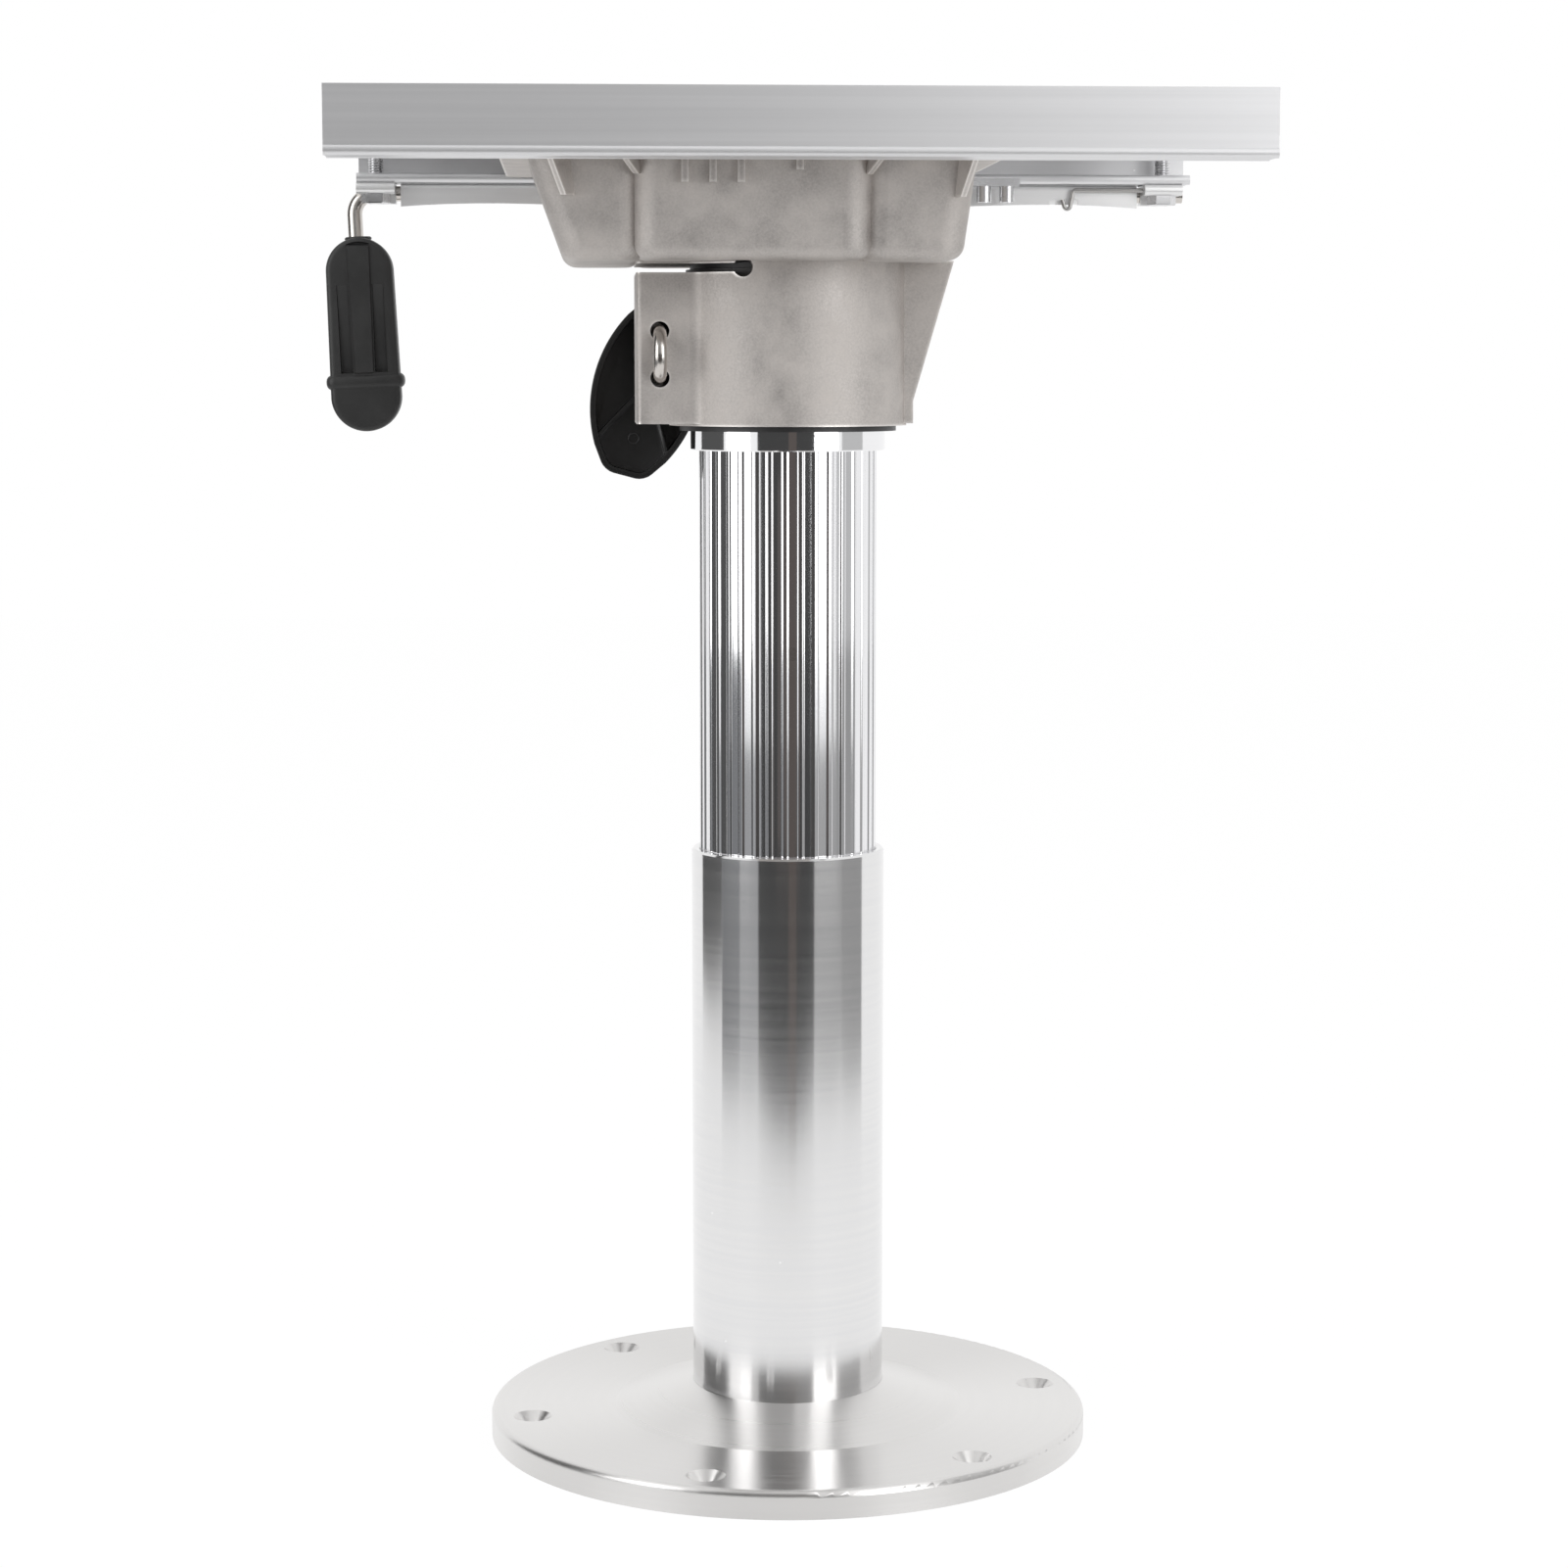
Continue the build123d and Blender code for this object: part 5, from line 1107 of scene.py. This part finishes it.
def bolt_head():
    """Hexagon with its lower corners taken off."""
    head = primitive(bpy.ops.mesh.primitive_cylinder_add, vertices=6, radius=head_radius,
                     depth=HEAD_HEIGHT, location=(0, 0, HEAD_HEIGHT / 2),
                     rotation=(0, 0, math.radians(30)))
    pick(head, "FACE", lambda place, normal: normal.z < -0.9)
    bpy.ops.mesh.inset(thickness=HEAD_RIM, depth=0)
    bpy.ops.transform.translate(value=(0, 0, -HEAD_PROUD))
    pick(head, "EDGE", lambda place, along:
         place.z < 0.05 and place.xy.length > HEAD_FLATS / 2 - 0.2)
    bpy.ops.mesh.bevel(offset=HEAD_CORNER, segments=2)
    return head


def bolt_thread():
    """Shank whose rings are drawn in by turns."""
    rings = 2 * round(shank_length / THREAD_PITCH)
    shank = primitive(bpy.ops.mesh.primitive_cylinder_add, vertices=24, radius=BOLT_RADIUS,
                      depth=shank_length, location=(0, 0, HEAD_HEIGHT + shank_length / 2))
    pick(shank, "EDGE", lambda place, along: abs(along.z) > 0.9)
    bpy.ops.mesh.subdivide(number_cuts=rings - 1)
    step = shank_length / rings
    pick(shank, "VERT", lambda place, normal: round((place.z - HEAD_HEIGHT) / step) % 2 == 1)
    bpy.ops.transform.resize(value=(THREAD_ROOT, THREAD_ROOT, 1), center_override=(0, 0, 0))
    return shank


front_bolt = merged([bolt_head(), bolt_thread()])
print("faces of one bolt:", len(front_bolt.data.polygons))

# %% [markdown]
# ## A bolt at each end
#
# The copy gets a mesh of its own, because the place of each bolt goes into its mesh.

# %% Copy the bolt and bring both to their places
rear_bolt = front_bolt.copy()
rear_bolt.data = front_bolt.data.copy()
scene.collection.objects.link(rear_bolt)
bolt_y = (bolts_low.y + bolts_high.y) / 2
for bolt, name, x in ((front_bolt, "end_bolt_front", bolts_low.x + head_radius * MM),
                      (rear_bolt, "end_bolt_rear", bolts_high.x - head_radius * MM)):
    bpy.ops.object.select_all(action="DESELECT")
    bolt.select_set(True)
    bpy.context.view_layer.objects.active = bolt
    bring(bolt, name, Vector((x, bolt_y, bolts_low.z)), (0, 0, 0), ZINC)
    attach(bolt, "seat_frame")
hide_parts("end_bolts")
print("bolts at x:", [round(x / MM, 1) for x in (bolts_low.x, bolts_high.x)], "mm")

# %% [markdown]
# ## The studio
#
# The photograph's background is plain white, and the metal shows what stood around it: two
# tall soft boxes in front, the dark room between and beside them, and a white table that ends
# about two thirds of a metre in front. First come the table and the world. Both look plain
# white to the camera and in reflections, and light the object at a plain level.

# %% Set up the table and the white surroundings
WORLD_LIGHT = 0.62
TABLE_SIZE = 9.0
TABLE_PAPER = (0.9, 0.9, 0.9, 1)
TABLE_GLOW = 1.03
GLOW_SHARE = 0.93        # the rest of the table's look is paper, which keeps a faint shadow


def ray_switch(tree):
    """1 for rays that the camera sees directly, in a mirror or through glass, else 0."""
    paths = add(tree, "ShaderNodeLightPath").outputs
    seen = maths(tree, "MAXIMUM", paths["Is Camera Ray"], paths["Is Glossy Ray"])
    return maths(tree, "MAXIMUM", seen, paths["Is Transmission Ray"])


def white_world():
    """World that shows white and lights the object at a plain level."""
    world = bpy.data.worlds.new("white_room")
    scene.world = world
    world.use_nodes = True
    tree = world.node_tree
    background = tree.nodes["Background"]
    background.inputs["Color"].default_value = (1, 1, 1, 1)
    strength = blend_values(tree, ray_switch(tree), WORLD_LIGHT, 1.0)
    join(tree, strength, background.inputs["Strength"])


def bare_material(name):
    """New material without its shader, and its tree and surface socket."""
    material = bpy.data.materials.new(name)
    material.use_nodes = True
    tree = material.node_tree
    tree.nodes.remove(tree.nodes["Principled BSDF"])
    return material, tree, tree.nodes["Material Output"].inputs["Surface"]


def table_material():
    """White table top: mostly glow where it is seen, and paper in the light it gives back."""
    material, tree, surface = bare_material("white_table")
    paper = add(tree, "ShaderNodeBsdfDiffuse", color=TABLE_PAPER)
    glow = add(tree, "ShaderNodeEmission", color=(1, 1, 1, 1), strength=TABLE_GLOW)
    mixed = add(tree, "ShaderNodeMixShader")
    join(tree, blend_values(tree, ray_switch(tree), 0.0, GLOW_SHARE), mixed.inputs[0])
    join(tree, paper.outputs[0], mixed.inputs[1])
    join(tree, glow.outputs[0], mixed.inputs[2])
    join(tree, mixed.outputs[0], surface)
    return material


white_world()
bpy.ops.mesh.primitive_plane_add(size=TABLE_SIZE, location=(0, 0, cad_low.z))
table = bpy.context.object
table.name = "white_table"
table.data.materials.append(table_material())
print("table at height", round(cad_low.z / MM, 2), "mm")

# %% [markdown]
# ## The soft boxes
#
# Two area lights stand in front, each by its angle from the camera's side of the post. Their
# power is worked out from how bright they should look in a mirror and from their size.

# %% Stand the soft boxes


def soft_box(name, azimuth, distance, width, height, middle, radiance):
    """Area light that faces the post, of a given brightness as it shows in a mirror."""
    bpy.ops.object.light_add(type="AREA", location=around(azimuth, distance, middle))
    lamp = bpy.context.object
    lamp.name = name
    lamp.data.shape = "RECTANGLE"
    lamp.data.size = width
    lamp.data.size_y = height
    lamp.data.energy = radiance * math.pi * width * height
    aim = Vector((0, 0, middle)) - lamp.location
    lamp.rotation_euler = aim.to_track_quat("-Z", "Y").to_euler()
    lamp.visible_camera = False


soft_box("left_soft_box", azimuth=-60, distance=1.1, width=0.6, height=1.0, middle=0.72,
         radiance=1.9)
soft_box("right_soft_box", azimuth=46, distance=1.1, width=0.58, height=1.0, middle=0.72,
         radiance=2.3)

# %% [markdown]
# ## The dark room
#
# What makes polished metal look like metal is the dark between the lights. The room is a few
# upright screens that only reflections see, so that they shade nothing. The rail and the
# casting stand high and see the upper screens, and the tubes see the lower ones, whose foot
# sets where the streaks on the outer tube fade into the white of the table.

# %% Stand the screens


def screen(name, azimuths, distance, heights, brightness, tint):
    """Upright screen that only mirrors see, between two azimuths and two heights."""
    low, high = heights
    middle = (azimuths[0] + azimuths[1]) / 2
    width = 2 * distance * math.tan(math.radians(azimuths[1] - azimuths[0]) / 2)
    place = around(middle, distance, (low + high) / 2)
    bpy.ops.mesh.primitive_plane_add(size=1, location=place)
    panel = bpy.context.object
    panel.name = name
    panel.scale = (width, high - low, 1)
    panel.rotation_euler = (math.radians(90), 0, math.radians(middle) - VIEW_TURN)
    bpy.ops.object.transform_apply(location=True, rotation=True, scale=True)
    material, tree, surface = bare_material(name)
    glow = add(tree, "ShaderNodeEmission", color=(*tint, 1), strength=brightness)
    join(tree, glow.outputs[0], surface)
    panel.data.materials.append(material)
    panel.visible_camera = False
    panel.visible_diffuse = False
    panel.visible_shadow = False
    panel.visible_transmission = False


SCREENS = (              # name, azimuths, distance and heights in metres, brightness, tint
    ("dark_room_front", (-35, 31), 0.62, (0.0, 0.44), 0.06, (1, 1, 1)),
    ("upper_room_left", (-35, 10), 0.68, (0.44, 1.1), 0.36, (1, 1, 1)),
    ("upper_card_right", (10, 31), 0.68, (0.44, 1.1), 1.05, (1, 1, 1)),
    ("room_glimpse", (1, 10), 0.6, (0.0, 0.44), 0.11, (1.0, 0.86, 0.8)),
    ("room_far_wall", (-13, 15), 0.61, (0.15, 0.35), 0.12, (1.0, 0.9, 0.87)),
    ("floor_left_far", (-84, -58), 0.72, (0.0, 0.25), 0.22, (0.95, 0.97, 1.0)),
    ("floor_left_near", (-58, -34), 0.72, (0.0, 0.195), 0.36, (0.97, 0.98, 1.0)),
    ("floor_right_near", (30, 66), 0.72, (0.0, 0.195), 0.38, (1, 1, 1)),
    ("floor_right_far", (66, 98), 0.72, (0.0, 0.25), 0.34, (1, 1, 1)),
    ("dark_room_left", (-122, -80), 1.0, (0.0, 1.3), 0.09, (1, 1, 1)),
    ("grey_room_right", (66, 98), 1.0, (0.0, 1.3), 0.55, (1, 1, 1)),
)
for values in SCREENS:
    screen(*values)
print("screens:", len(SCREENS))
